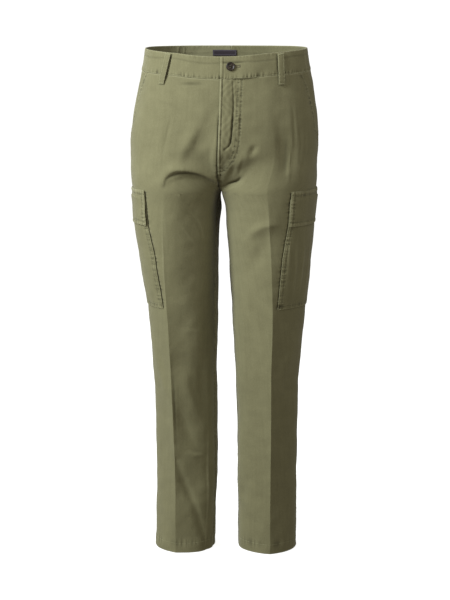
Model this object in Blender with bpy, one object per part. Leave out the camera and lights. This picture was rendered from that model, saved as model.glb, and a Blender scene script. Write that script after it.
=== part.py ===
"""Cargo chino trousers, filled out as if worn, with nothing inside: four cut panels with pressed
creases, a waistband that overlaps at the button, belt loops, slant pockets, and a flapped cargo
pocket over each side seam. The cloth is a thin closed wall, open at the waist and at both hems."""
import math

import bmesh
import bpy
import numpy as np

# ---------------------------------------------------------------- sizes, in metres
# +X is the wearer's left, -Y the front, +Z up. The origin is the middle of the waist opening.
WALL = 0.0015            # twill cloth
SEAM_GAP = 0.0002        # half of the gap between two panels at a seam

WAIST_TOP = 0.024        # top edge of the waistband at the side seams
HIP_LEVEL = -0.165       # above it the seat, below it the crotch curve
FORK_LEVEL = -0.260      # where the four panels meet
HEM_LEVEL = -1.030       # bottom edges
HEM_DEPTH = 0.023        # turned-up hem

WAIST_DIP = 0.0225       # the waist is this much lower in front than behind
WAIST_DIP_SIDE = 0.004   # and this much lower at the sides than behind
WAIST_DIP_END = -0.140   # below this level the rows are flat
WAIST_DIP_POWER = 2.5    # how closely the dip keeps to the middle of the front
BAND_RISE = 0.0032       # the waistband is this much higher at the centre front

# Seat and waist: one row for each level, mirrored for the other half.
SEAT = (
    # level, half width, front, back, front crease, back crease
    (0.024, 0.163, 0.102, 0.102, 0.31, 0.35),
    (-0.020, 0.1705, 0.109, 0.109, 0.31, 0.35),
    (-0.060, 0.1785, 0.114, 0.119, 0.31, 0.35),
    (-0.110, 0.187, 0.118, 0.130, 0.32, 0.35),
    (-0.155, 0.191, 0.119, 0.137, 0.34, 0.36),
    (-0.205, 0.191, 0.117, 0.136, 0.37, 0.38),
    (-0.260, 0.190, 0.112, 0.128, 0.40, 0.40),
)

# Legs: distances from the middle plane to the inseam and to the side, the leg's middle in depth,
# its front and back reach, and in degrees its turn outwards and how steep the cloth leaves each
# pressed crease.
LEGS = {
    "left": (
        # level, inner, outer, middle, front, back, turn, steep in front, steep behind
        (-0.165, 0.0002, 0.193, 0.000, 0.118, 0.136, 1.5, 4, 4),
        (-0.260, 0.0002, 0.191, 0.004, 0.112, 0.124, 2.6, 4, 5),
        (-0.282, 0.0060, 0.188, 0.004, 0.110, 0.119, 3.1, 5, 6),
        (-0.330, 0.0080, 0.183, 0.004, 0.106, 0.110, 4.6, 9, 9),
        (-0.430, 0.0120, 0.172, 0.000, 0.098, 0.094, 7.8, 20, 16),
        (-0.530, 0.0150, 0.163, -0.004, 0.090, 0.082, 9.6, 30, 24),
        (-0.630, 0.0190, 0.151, -0.004, 0.082, 0.076, 10, 34, 28),
        (-0.750, 0.0215, 0.148, 0.004, 0.076, 0.076, 10, 36, 30),
        (-0.880, 0.0220, 0.147, 0.014, 0.070, 0.074, 10, 32, 28),
        (-1.030, 0.0235, 0.148, 0.024, 0.066, 0.070, 9, 12, 14),
    ),
    "right": (
        # level, inner, outer, middle, front, back, turn, steep in front, steep behind
        (-0.165, 0.0002, 0.190, 0.000, 0.118, 0.136, 4, 4, 4),
        (-0.260, 0.0002, 0.182, 0.000, 0.112, 0.124, 6.4, 3, 5),
        (-0.282, 0.0065, 0.178, 0.000, 0.110, 0.119, 7.2, 3, 6),
        (-0.330, 0.0100, 0.173, -0.004, 0.106, 0.110, 9.2, 4, 9),
        (-0.430, 0.0150, 0.163, -0.008, 0.098, 0.094, 12.6, 12, 16),
        (-0.530, 0.0170, 0.156, -0.012, 0.090, 0.082, 14, 28, 24),
        (-0.630, 0.0210, 0.153, -0.010, 0.082, 0.076, 14, 34, 28),
        (-0.750, 0.0215, 0.151, -0.002, 0.076, 0.076, 14, 36, 30),
        (-0.880, 0.0230, 0.151, 0.005, 0.070, 0.074, 13, 32, 28),
        (-1.030, 0.0280, 0.155, 0.012, 0.066, 0.070, 11, 12, 14),
    ),
}

# The stance: how far the middle plane stands to the wearer's left at each level.
SWAY = (
    # level, shift
    (0.024, 0.0020),
    (-0.060, 0.0015),
    (-0.155, -0.0010),
    (-0.260, -0.0060),
    (-0.400, -0.0020),
    (-0.560, 0.0030),
    (-1.030, 0.0040),
)

ROUND_HANDLE = 0.5523    # Bezier handle that makes a quarter of an ellipse
SEAT_HANDLE = 0.68       # flatter across the front and the seat
CREASE_HANDLE = 0.56
SIDE_SIGN = {"left": 1.0, "right": -1.0}
CROTCH_SOFTNESS = 0.50   # how softly the crotch curve runs out into the thighs
CROTCH_REACH = 0.25      # and how far from the inseam, as a share of a quarter
INNER, FRONT_CREASE, SIDE, BACK_CREASE, INNER_BACK = 0.0, 1.0, 2.0, 3.0, 4.0

# Waistband, its overlap at the button, and the belt loops.
BAND_BOTTOM = -0.0190
BAND_GAP = 0.0003        # between the waistband and the panels
BAND_WALL = 0.0024
BAND_PROUD = 0.0006      # the band stands this much outside the panels
BAND_SEAM = 0.033        # its front pieces end this far in front of the side seam
UNDERLAP = 0.036         # the right end passes this far behind the left end
OVERLAP_RISE = BAND_WALL + 0.0003    # the left end lies over the right one
OVERLAP_FLAT, OVERLAP_FADE = 0.040, 0.045

LOOP_WIDTH, LOOP_WALL = 0.0125, 0.0020
LOOP_TOP, LOOP_BOTTOM = 0.0215, -0.0400
LOOP_SEAT = 0.0004       # under its sewn ends
LOOP_GAP = 0.0062        # more than that at its middle, for a belt
LOOP_FLATNESS = 4        # how straight it runs between its ends
LOOP_STEPS = 10
LOOPS = (
    # name, leg, place at the top, place at the bottom
    ("belt_loop_left_front", "left", 1.20, 1.17),
    ("belt_loop_right_front", "right", 1.12, 1.17),
    ("belt_loop_left_back", "left", 2.95, 2.95),
    ("belt_loop_right_back", "right", 2.95, 2.95),
    ("belt_loop_centre_back", "left", 4.00, 4.00),
)

BUTTON_FROM_FRONT, BUTTON_LEVEL = 0.0200, 0.0048
BUTTON_GAP = 0.0004
BUTTON_PROFILE = (
    # radius, height
    (0.0070, 0.0000), (0.0085, 0.0010), (0.0085, 0.0024), (0.0078, 0.0031), (0.0068, 0.0031),
    (0.0060, 0.0024), (0.0000, 0.0022),
)
BUTTON_SIDES = 20

LABEL_WIDTH, LABEL_TOP, LABEL_BOTTOM, LABEL_WALL = 0.050, 0.0155, 0.0035, 0.0010
LABEL_SHIFT = 0.0135     # towards the wearer's right of the centre back
LABEL_GAP = 0.0005

# Fly: the left front lies over the right front and is stitched down along a J.
FLY_UNDERLAP = 0.009
FLY_BOTTOM = -0.195
FLY_RISE = WALL + 0.0003
FLY_FLAT, FLY_WIDTH = 0.012, 0.042
FLY_FADE = 0.030         # the rise ends over this length, round FLY_BOTTOM
UNDERLAP_FADE = 0.060    # the right front's underlap narrows to nothing over this length

# Slant pockets: the front panel is cut away this far in front of the side seam, over a facing.
MOUTH_CURVE, MOUTH_TURN, MOUTH_BOTTOM = -0.134, -0.151, HIP_LEVEL
MOUTH = (
    # level, cut back
    (-0.019, 0.054), (-0.045, 0.043), (-0.066, 0.037), (-0.100, 0.033), (MOUTH_CURVE, 0.026),
    (MOUTH_TURN, 0.015), (MOUTH_BOTTOM, SEAM_GAP), (-1.100, SEAM_GAP),
)
MOUTH_LAP = 0.014        # facing behind the front panel
FACING_BOTTOM = -0.186
FACING_DROP = WALL + 0.0009
FACING_STRIP = 0.006     # its narrowest part beside the seam
FACING_FADE = 0.018      # behind the mouth it comes up to the panels' own level over this width
FACING_START = 0.25      # after this share of it
FACING_RISE = 0.050      # and over this length above the mouth's end
LAP_GROWTH, LAP_LENGTH = 0.016, 0.080    # below the facing the front's last guide column moves away

# Cargo pockets, laid over the side seam of each thigh.
FLAP_TOP, POCKET_TOP, FLAP_BOTTOM, POCKET_BOTTOM = -0.255, -0.270, -0.325, -0.494
POCKET_BEHIND = 0.085    # from the side seam to the pocket's back edge
POCKET_SWELL = 0.0035
SWELL_ACROSS, SWELL_DOWN = 0.7, 0.8      # how fast the swell rises from the pocket's edges
SWELL_START = 0.15       # it is already this far into its curve under the flap
PATCH_GAP = 0.0003
POCKET_EDGE = (
    # level, distance before the side seam
    (-0.019, 0.090), (-0.165, 0.100), (-0.255, 0.112), (-0.325, 0.112), (-0.390, 0.119),
    (-0.494, 0.117), (-0.600, 0.070), (-1.100, 0.055),
)

# Largest folds. Height is out of the cloth, or into it if negative; start and end are the shares of
# the height left at the two ends; the path runs through (level, place).
FOLDS = (
    # leg, height, width, start, end, path
    ("right", 0.0060, 0.012, 0.8, 0.2, ((-0.234, 0.10), (-0.213, 0.50), (-0.214, 0.84), (-0.234, 1.04))),
    ("right", -0.0038, 0.011, 0.6, 0.1, ((-0.254, 0.15), (-0.233, 0.55), (-0.236, 0.85), (-0.258, 1.02))),
    ("right", -0.0050, 0.015, 0.1, 0.3, ((-0.094, 0.08), (-0.132, 0.24), (-0.168, 0.38), (-0.198, 0.55))),
    ("right", 0.0035, 0.014, 0.0, 0.4, ((-0.110, 0.26), (-0.150, 0.42), (-0.190, 0.62))),
    ("right", -0.0030, 0.020, 0.1, 0.1, ((-0.398, 0.76), (-0.468, 0.41), (-0.550, 0.22), (-0.620, 0.50))),
    ("right", 0.0035, 0.015, 0.0, 0.0, ((-0.540, 1.62), (-0.640, 1.25), (-0.702, 1.10))),
    ("right", -0.0040, 0.013, 0.2, 0.1, ((-0.700, 0.92), (-0.744, 0.80), (-0.806, 0.58))),
    ("right", -0.0042, 0.011, 0.5, 0.6, ((-0.822, 0.97), (-0.868, 0.85), (-0.928, 0.61), (-1.024, 0.26))),
    ("right", 0.0020, 0.018, 0.0, 0.3, ((-0.850, 0.40), (-0.900, 0.25), (-0.960, 0.12))),
    ("right", 0.0040, 0.014, 0.1, 0.1, ((-0.600, 0.62), (-0.650, 0.74), (-0.700, 0.62), (-0.760, 0.42))),
    ("right", -0.0030, 0.013, 0.0, 0.0, ((-0.560, 0.20), (-0.630, 0.40), (-0.700, 0.36), (-0.760, 0.20))),
    ("left", -0.0045, 0.015, 0.1, 0.3, ((-0.088, 1.06), (-0.142, 1.08), (-0.202, 1.12), (-0.250, 1.18))),
    ("left", 0.0045, 0.013, 0.2, 0.5, ((-0.160, 0.66), (-0.182, 0.50), (-0.208, 0.30), (-0.234, 0.20))),
    ("left", -0.0045, 0.010, 0.5, 0.1, ((-0.248, 0.24), (-0.243, 0.38), (-0.234, 0.53), (-0.216, 0.60))),
    ("left", 0.0040, 0.012, 0.0, 0.0, ((-0.380, 0.50), (-0.340, 0.76), (-0.322, 1.00), (-0.324, 1.22))),
    ("left", -0.0035, 0.012, 0.1, 0.0, ((-0.430, 0.54), (-0.404, 0.72), (-0.372, 0.86), (-0.342, 0.96))),
    ("left", 0.0030, 0.015, 0.0, 0.0, ((-0.560, 1.55), (-0.620, 1.28), (-0.690, 1.08))),
    ("left", -0.0030, 0.014, 0.0, 0.2, ((-0.840, 0.50), (-0.900, 0.32), (-0.970, 0.20))),
    ("left", -0.0050, 0.015, 0.7, 0.0, ((-0.272, 3.90), (-0.285, 3.50), (-0.305, 3.05), (-0.320, 2.70))),
    ("left", 0.0045, 0.014, 0.5, 0.0, ((-0.300, 3.88), (-0.320, 3.45), (-0.345, 3.00))),
    ("left", -0.0045, 0.014, 0.0, 0.2, ((-0.510, 2.60), (-0.525, 3.00), (-0.512, 3.50))),
    ("left", 0.0045, 0.014, 0.0, 0.2, ((-0.540, 2.55), (-0.556, 3.00), (-0.540, 3.60))),
    ("left", -0.0040, 0.014, 0.2, 0.0, ((-0.575, 3.70), (-0.590, 3.20), (-0.580, 2.75))),
    ("right", -0.0050, 0.015, 0.7, 0.0, ((-0.268, 3.90), (-0.290, 3.45), (-0.315, 3.00), (-0.322, 2.72))),
    ("right", 0.0045, 0.014, 0.5, 0.0, ((-0.298, 3.88), (-0.326, 3.40), (-0.350, 3.05))),
    ("right", -0.0045, 0.014, 0.0, 0.2, ((-0.500, 2.66), (-0.518, 3.05), (-0.505, 3.50))),
    ("right", 0.0050, 0.014, 0.0, 0.2, ((-0.532, 2.60), (-0.550, 3.05), (-0.530, 3.55))),
    ("right", -0.0040, 0.014, 0.1, 0.0, ((-0.566, 3.60), (-0.584, 3.10), (-0.572, 2.80))),
)

# Mesh: rows of the panels in each zone, and columns between their guide lines.
SEAT_ROWS, CROTCH_ROWS, THIGH_ROWS, LEG_ROWS = 7, 8, 10, 21
ROW_CLEAR = 0.007        # no plain row lies nearer than this to a pocket's edge
ROW_CLEAR_AT_FORK, FORK_ZONE = 0.001, 0.012    # but the crotch curve keeps its close rows
HEM_STEP = 0.003         # the turned-up edge inside the hem
FRONT_SPANS = (6, 2, 4, 1)   # edge, crease, cargo pocket, slant pocket, side
BACK_SPANS = (4, 2, 6)       # side, cargo pocket, crease, edge
BAND_ROWS, BAND_FRONT_SPAN, BAND_BACK_SPAN = 3, 9, 10
PLACE_STEP, LEVEL_STEP = 0.03, 0.0015    # for the cloth's normal
SAME_LEVEL = 1e-6
SHARP_ANGLE = 35
FOLD_STEPS, ROW_STEPS, ROW_OVERRUN = 13, 301, 0.5

COLOURS = (
    # name, colour, roughness
    ("olive_twill", (0.125, 0.115, 0.060), 0.85),
    ("dark_horn", (0.015, 0.011, 0.009), 0.35),
    ("label_tape", (0.025, 0.025, 0.045), 0.7),
)


# ---------------------------------------------------------------- the cloth's surface
def smooth(t):
    t = np.clip(t, 0.0, 1.0)
    return t * t * (3.0 - 2.0 * t)


def read_table(table, level):
    """The table's columns after the first, at each level, on a smooth curve through its rows."""
    rows = np.array(table, float)
    depth, values = -rows[:, 0], rows[:, 1:]
    at = np.clip(-np.asarray(level, float), depth[0], depth[-1])
    span = np.clip(np.searchsorted(depth, at, side="right") - 1, 0, len(depth) - 2)
    step = np.diff(depth)
    slope = np.diff(values, axis=0) / step[:, None]
    lean = np.vstack([slope[:1], (slope[1:] * step[:-1, None] + slope[:-1] * step[1:, None])
                      / (step[1:] + step[:-1])[:, None], slope[-1:]])
    size = step[span][..., None]
    t = ((at - depth[span]) / step[span])[..., None]
    found = ((2 * t**3 - 3 * t**2 + 1) * values[span] + (t**3 - 2 * t**2 + t) * size * lean[span]
             + (3 * t**2 - 2 * t**3) * values[span + 1] + (t**3 - t**2) * size * lean[span + 1])
    return [found[..., k] for k in range(found.shape[-1])]


def pair(x, y):
    return np.stack(np.broadcast_arrays(x, y), -1)


def split_curve(curve, share):
    """One cubic Bezier cut in two at its parameter share."""
    p, s = curve, share[..., None]
    a, b, c = (p[k] + (p[k + 1] - p[k]) * s for k in range(3))
    d, e = a + (b - a) * s, b + (c - b) * s
    middle = d + (e - d) * s
    return [p[0], a, d, middle], [middle, e, c, p[3]]


def ring_of(curves):
    """Thirteen control points from four cubic curves joined end to end."""
    points = list(curves[0])
    for curve in curves[1:]:
        points += curve[1:]
    return np.stack(points, -2)


def seat_ring(level):
    """Control points of half a round of the seat: centre front, crease, side, crease, centre back."""
    half, front, back, crease_front, crease_back = read_table(SEAT, level)
    none = np.zeros_like(half)
    flat, deep_front, deep_back = SEAT_HANDLE * half, ROUND_HANDLE * front, ROUND_HANDLE * back
    before = [pair(none, -front), pair(flat, -front), pair(half, -deep_front), pair(half, none)]
    behind = [pair(half, none), pair(half, deep_back), pair(flat, back), pair(none, back)]
    return ring_of([*split_curve(before, crease_front), *split_curve(behind, 1.0 - crease_back)])


def leg_ring(leg, level):
    """Control points round a leg: inseam, front crease, side seam, back crease, inseam."""
    inner, outer, middle, front, back, turn, steep_front, steep_back = read_table(LEGS[leg], level)
    half, centre = (outer - inner) / 2, (outer + inner) / 2
    none = np.zeros_like(half)
    reach = CREASE_HANDLE * half
    rise_front = reach * np.tan(np.radians(steep_front))
    rise_back = reach * np.tan(np.radians(steep_back))
    deep_front, deep_back = ROUND_HANDLE * front, ROUND_HANDLE * back
    inseam, crease, side, behind = pair(-half, none), pair(none, -front), pair(half, none), pair(none, back)
    curves = [
        [inseam, pair(-half, -deep_front), pair(-reach, rise_front - front), crease],
        [crease, pair(reach, rise_front - front), pair(half, -deep_front), side],
        [side, pair(half, deep_back), pair(reach, back - rise_back), behind],
        [behind, pair(-reach, back - rise_back), pair(-half, deep_back), inseam],
    ]
    ring = ring_of(curves)
    angle = np.radians(turn)[..., None]
    x = ring[..., 0] * np.cos(angle) - ring[..., 1] * np.sin(angle) + centre[..., None]
    y = ring[..., 0] * np.sin(angle) + ring[..., 1] * np.cos(angle) + middle[..., None]
    return pair(x, y)


def cloth_ring(leg, level):
    """The half's outline at each level, and how its two ends pull at the cloth beside them. The ends run
    down the rounded crotch curve, and the cloth beside them follows less sharply."""
    down = np.maximum((HIP_LEVEL - level) / (HIP_LEVEL - FORK_LEVEL), 0.0)
    way = np.minimum(down, 1.0)
    sharp = 1.0 - np.sqrt(1.0 - way**2)
    left = 1.0 - down**2
    soft = 1.0 - np.sqrt((left + np.hypot(left, CROTCH_SOFTNESS)) / (1.0 + math.hypot(1.0, CROTCH_SOFTNESS)))
    share = np.repeat(smooth(way)[..., None], 13, -1)
    share[..., [0, 12]] = sharp[..., None]
    seat, thigh = seat_ring(level), leg_ring(leg, level)
    pull = (thigh - seat)[..., [0, 12], :] * (soft - sharp)[..., None, None]
    return seat + (thigh - seat) * share[..., None], pull


def bare_point(leg, level, place):
    """The cloth's surface before folds. place runs 0 centre front or inseam, 1 front crease, 2 side seam,
    3 back crease, 4 centre back or inseam; past either end it goes on over the other half."""
    level, place = np.broadcast_arrays(np.asarray(level, float), np.asarray(place, float))
    crossed = (place < 0.0) | (place > 4.0)
    place = np.where(place > 4.0, 8.0 - place, np.abs(place))
    ring, pull = cloth_ring(leg, level)
    part = np.clip(np.floor(place), 0, 3).astype(int)
    t = (place - part)[..., None]
    at = (3 * part)[..., None, None].repeat(2, -1)
    first, second, third, fourth = (np.take_along_axis(ring, at + k, -2)[..., 0, :] for k in range(4))
    flat = (1 - t)**3 * first + 3 * t * (1 - t)**2 * second + 3 * t**2 * (1 - t) * third + t**3 * fourth
    near = np.minimum(place, INNER_BACK - place)[..., None]
    pulled = np.where(place[..., None] < SIDE, pull[..., 0, :], pull[..., 1, :])
    flat = flat + pulled * np.maximum(1.0 - near, 0.0)**3 * smooth(near / CROTCH_REACH)
    x = np.maximum(flat[..., 0], SEAM_GAP) * SIDE_SIGN[leg] * np.where(crossed, -1.0, 1.0)
    fade = smooth((level - WAIST_DIP_END) / (WAIST_TOP - WAIST_DIP_END))
    middle = ((1 + np.cos(place * math.pi / 4)) / 2)**WAIST_DIP_POWER
    rise = BAND_RISE * smooth((level - BAND_BOTTOM) / (WAIST_TOP - BAND_BOTTOM))
    height = level + fade * (WAIST_DIP_SIDE - WAIST_DIP * middle) + rise * middle
    return np.stack([x + read_table(SWAY, level)[0], flat[..., 1], height], -1)


def cloth_normal(leg, level, place):
    """The way out of the cloth, by small steps down and round it."""
    level, place = np.broadcast_arrays(np.asarray(level, float), np.asarray(place, float))
    closed = level <= FORK_LEVEL
    ahead = np.where(closed, (place + PLACE_STEP) % 4.0, place + PLACE_STEP)
    before = np.where(closed, (place - PLACE_STEP) % 4.0, place - PLACE_STEP)
    across = bare_point(leg, level, ahead) - bare_point(leg, level, before)
    upward = bare_point(leg, level + LEVEL_STEP, place) - bare_point(leg, level - LEVEL_STEP, place)
    out = np.cross(across, upward) * SIDE_SIGN[leg]
    return out / np.linalg.norm(out, axis=-1, keepdims=True)


def fold_path(leg, path):
    """A fold's line on the cloth, as short straight steps."""
    levels, places = np.array(path).T
    knots = np.arange(len(path))
    at = np.linspace(0, len(path) - 1, FOLD_STEPS)
    return bare_point(leg, np.interp(at, knots, levels), np.interp(at, knots, places))


def fold_height(leg, points):
    """How far the folds lift the cloth at each bare point."""
    lift = np.zeros(points.shape[:-1])
    for side, height, width, start, end, path in FOLDS:
        if side != leg:
            continue
        line = fold_path(leg, path)
        nearest = np.full(lift.shape, np.inf)
        along = np.zeros(lift.shape)
        for k in range(FOLD_STEPS - 1):
            step = line[k + 1] - line[k]
            t = np.clip(((points - line[k]) @ step) / (step @ step), 0.0, 1.0)
            gap = np.linalg.norm(points - line[k] - t[..., None] * step, axis=-1)
            along = np.where(gap < nearest, (k + t) / (FOLD_STEPS - 1), along)
            nearest = np.minimum(nearest, gap)
        strength = np.where(along < 0.5, start + (1 - start) * smooth(2 * along),
                            end + (1 - end) * smooth(2 - 2 * along))
        lift += height * strength * np.exp(-(nearest / width)**2)
    return lift


def cloth_point(leg, level, place, out=0.0):
    """A point of the folded cloth, moved out by a distance."""
    level, place = np.broadcast_arrays(np.asarray(level, float), np.asarray(place, float))
    points = bare_point(leg, level, place)
    lift = fold_height(leg, points) + out
    points = points + lift[..., None] * cloth_normal(leg, level, place)
    middle = read_table(SWAY, level)[0]
    own = SIDE_SIGN[leg] * np.where((place < 0.0) | (place > 4.0), -1.0, 1.0)
    points[..., 0] = middle + own * np.maximum((points[..., 0] - middle) * own, SEAM_GAP)
    return points


def read_line(table, level):
    """The table's second column at each level, on straight lines through its rows."""
    rows = np.array(table, float)
    return np.interp(-np.asarray(level, float), -rows[:, 0], rows[:, 1])


def place_beside(leg, level, distance, start=SIDE):
    """The place at a distance along the row from another place: negative is nearer the front."""
    places = np.linspace(INNER - ROW_OVERRUN, INNER_BACK + ROW_OVERRUN, ROW_STEPS)
    found = []
    for one_level, one_distance, one_start in zip(*np.broadcast_arrays(level, distance, start)):
        row = bare_point(leg, one_level, places)
        length = np.concatenate([[0.0], np.cumsum(np.linalg.norm(np.diff(row, axis=0), axis=1))])
        found.append(np.interp(np.interp(one_start, places, length) + one_distance, length, places))
    return np.array(found)


def between(guides, counts):
    """Columns evenly spaced between guide columns: one array of places for each row."""
    columns = []
    for k, count in enumerate(counts):
        for step in range(count):
            columns.append(guides[k] + (guides[k + 1] - guides[k]) * step / count)
    columns.append(guides[-1])
    return np.stack(columns, -1)


# ---------------------------------------------------------------- closed walls
def link(name, shape, material):
    """An object from a finished bmesh."""
    bmesh.ops.recalc_face_normals(shape, faces=shape.faces)
    mesh = bpy.data.meshes.new(name)
    shape.to_mesh(mesh)
    shape.free()
    mesh.materials.append(material)
    mesh.shade_smooth()
    mesh.set_sharp_from_angle(angle=math.radians(SHARP_ANGLE))
    thing = bpy.data.objects.new(name, mesh)
    bpy.context.scene.collection.objects.link(thing)
    return thing


def wall(name, outer, inner, material):
    """A closed wall between two grids of points, rows by columns. Both faces are cut along the same
    diagonals, so walls laid on each other keep their distance."""
    shape = bmesh.new()
    rows, columns = outer.shape[:2]
    layers = [[[shape.verts.new(point) for point in row] for row in grid] for grid in (outer, inner)]
    for grid in layers:
        for r in range(rows - 1):
            for c in range(columns - 1):
                shape.faces.new((grid[r][c], grid[r][c + 1], grid[r + 1][c + 1]))
                shape.faces.new((grid[r][c], grid[r + 1][c + 1], grid[r + 1][c]))
    border = [(0, c) for c in range(columns)] + [(r, columns - 1) for r in range(1, rows)]
    border += [(rows - 1, c) for c in range(columns - 2, -1, -1)] + [(r, 0) for r in range(rows - 2, 0, -1)]
    for (r, c), (s, d) in zip(border, border[1:] + border[:1]):
        top, under = layers
        shape.faces.new((top[r][c], top[s][d], under[s][d]))
        shape.faces.new((top[r][c], under[s][d], under[r][c]))
    return link(name, shape, material)


# ---------------------------------------------------------------- rows and columns
def panel_levels():
    """Levels of the panels' rows, with rows at the edges of whatever is laid on them."""
    hem_top = HEM_LEVEL + HEM_DEPTH
    edges = [BAND_BOTTOM - BAND_GAP, MOUTH_CURVE, MOUTH_TURN, HIP_LEVEL, FACING_BOTTOM, FLAP_TOP, FORK_LEVEL,
             POCKET_TOP, FLAP_BOTTOM, POCKET_BOTTOM, hem_top + HEM_STEP, hem_top, HEM_LEVEL]
    plain = list(np.linspace(edges[0], HIP_LEVEL, SEAT_ROWS + 1))
    round_the_fork = np.sin(np.linspace(0.0, math.pi / 2, CROTCH_ROWS + 1))
    plain += list(HIP_LEVEL - (HIP_LEVEL - FORK_LEVEL) * round_the_fork)
    plain += list(np.linspace(FORK_LEVEL, POCKET_BOTTOM, THIGH_ROWS + 1))
    plain += list(np.linspace(POCKET_BOTTOM, HEM_LEVEL, LEG_ROWS + 1))
    kept = []
    for level in plain:
        nearest = min(abs(level - edge) for edge in edges)
        at_fork = FORK_LEVEL < level < FLAP_TOP + FORK_ZONE
        if nearest > (ROW_CLEAR_AT_FORK if at_fork else ROW_CLEAR):
            kept.append(level)
    return np.array(sorted(edges + kept, reverse=True))


def front_guides(leg, level):
    """Edge, front crease, cargo pocket's edge, slant pocket's lap and side, as places for each row."""
    edge = np.where(level > FORK_LEVEL - SAME_LEVEL, INNER, place_beside(leg, level, SEAM_GAP, INNER))
    if leg == "right":
        under = FLY_UNDERLAP * smooth((level - HIP_LEVEL) / UNDERLAP_FADE)
        edge = np.where(level > HIP_LEVEL + SAME_LEVEL, place_beside(leg, level, -under, INNER), edge)
    mouth = read_line(MOUTH, level)
    lap = MOUTH_LAP + LAP_GROWTH * smooth((FACING_BOTTOM - level) / LAP_LENGTH)
    return [edge, np.full_like(level, FRONT_CREASE), place_beside(leg, level, -read_line(POCKET_EDGE, level)),
            place_beside(leg, level, -mouth - lap), place_beside(leg, level, -mouth)]


def back_guides(leg, level):
    """Side, cargo pocket's back edge, back crease and edge, as places for each row."""
    edge = np.where(level > FORK_LEVEL - SAME_LEVEL, INNER_BACK,
                    place_beside(leg, level, -SEAM_GAP, INNER_BACK))
    return [place_beside(leg, level, SEAM_GAP), place_beside(leg, level, POCKET_BEHIND),
            np.full_like(level, BACK_CREASE), edge]


def panel_depth(level):
    """The cloth's thickness: doubled where the hem is turned up inside."""
    return np.where(level <= HEM_LEVEL + HEM_DEPTH + SAME_LEVEL, 2 * WALL, WALL)


def fly_rise(leg, points, level):
    """The left front rides over the right one between the centre and the J of stitches."""
    across = np.abs(points[..., 0] - read_table(SWAY, level)[0])
    near = 1.0 - smooth((across - FLY_FLAT) / (FLY_WIDTH - FLY_FLAT))
    return FLY_RISE * near * smooth((level - FLY_BOTTOM) / FLY_FADE + 0.5) * (points[..., 1] < 0.0)


# ---------------------------------------------------------------- the pieces
def panel(leg, part, level, material):
    """A front or back panel, one piece from the waistband to the hem."""
    if part == "front":
        places = between(front_guides(leg, level), FRONT_SPANS)
    else:
        places = between(back_guides(leg, level), BACK_SPANS)
    rows = np.repeat(level[:, None], places.shape[1], 1)
    out = fly_rise(leg, bare_point(leg, rows, places), rows) if (leg, part) == ("left", "front") else 0.0
    outer = cloth_point(leg, rows, places, out)
    inner = cloth_point(leg, rows, places, out - panel_depth(rows))
    return wall(f"{leg}_{part}", outer, inner, material)


def pocket_facing(leg, level, material):
    """The hip piece that shows in the slant pocket's mouth and is sewn into the side seam."""
    level = level[level > FACING_BOTTOM - SAME_LEVEL]
    mouth = read_line(MOUTH, level)
    shown = np.maximum(mouth, FACING_STRIP)
    distance = between([mouth + MOUTH_LAP, shown, np.full_like(mouth, SEAM_GAP)], (1, 4))
    places = np.stack([place_beside(leg, level, -column) for column in distance.T], -1)
    rows = np.repeat(level[:, None], distance.shape[1], 1)
    flush = smooth((mouth[:, None] - distance) / FACING_FADE - FACING_START)
    flush = flush * smooth((rows - MOUTH_BOTTOM) / FACING_RISE)
    out = -FACING_DROP * (1.0 - flush)
    return wall(f"{leg}_pocket_facing", cloth_point(leg, rows, places, out),
                cloth_point(leg, rows, places, out - WALL), material)


def cargo_places(leg, level):
    """The panels' own columns from the pocket's front edge, over the side seam, to its back edge."""
    front = between(front_guides(leg, level), FRONT_SPANS)[:, sum(FRONT_SPANS[:2]):]
    behind = between(back_guides(leg, level), BACK_SPANS)[:, :BACK_SPANS[0] + 1]
    return np.concatenate([front[:, :-1], np.full((len(level), 1), SIDE), behind[:, 1:]], 1)


def pocket_lift(rows, columns):
    """The cargo pocket's inner face: on the panel at its edges, swelling a little in the middle."""
    down = np.clip((POCKET_TOP - rows) / (POCKET_TOP - POCKET_BOTTOM), 0.0, 1.0)
    across = np.linspace(0.0, 1.0, columns)[None, :]
    swell = (4 * across * (1 - across))**SWELL_ACROSS
    swell = swell * np.sin(math.pi * (SWELL_START + (1 - SWELL_START) * down))**SWELL_DOWN
    return PATCH_GAP + POCKET_SWELL * swell * (rows < POCKET_TOP + SAME_LEVEL)


def cargo_pocket(leg, level, material):
    """A patch sewn over the side seam."""
    level = level[(level < POCKET_TOP + SAME_LEVEL) & (level > POCKET_BOTTOM - SAME_LEVEL)]
    places = cargo_places(leg, level)
    rows = np.repeat(level[:, None], places.shape[1], 1)
    lift = pocket_lift(rows, places.shape[1])
    return wall(f"{leg}_cargo_pocket", cloth_point(leg, rows, places, lift + WALL),
                cloth_point(leg, rows, places, lift), material)


def cargo_flap(leg, level, material):
    """The flap is sewn on above the pocket and hangs over it."""
    level = level[(level < FLAP_TOP + SAME_LEVEL) & (level > FLAP_BOTTOM - SAME_LEVEL)]
    places = cargo_places(leg, level)
    rows = np.repeat(level[:, None], places.shape[1], 1)
    over_pocket = pocket_lift(rows, places.shape[1]) + WALL + PATCH_GAP
    share = np.clip((FLAP_TOP - rows) / (FLAP_TOP - POCKET_TOP), 0.0, 1.0)
    lift = PATCH_GAP * (1 - share) + over_pocket * share
    return wall(f"{leg}_cargo_flap", cloth_point(leg, rows, places, lift + WALL),
                cloth_point(leg, rows, places, lift), material)


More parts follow.
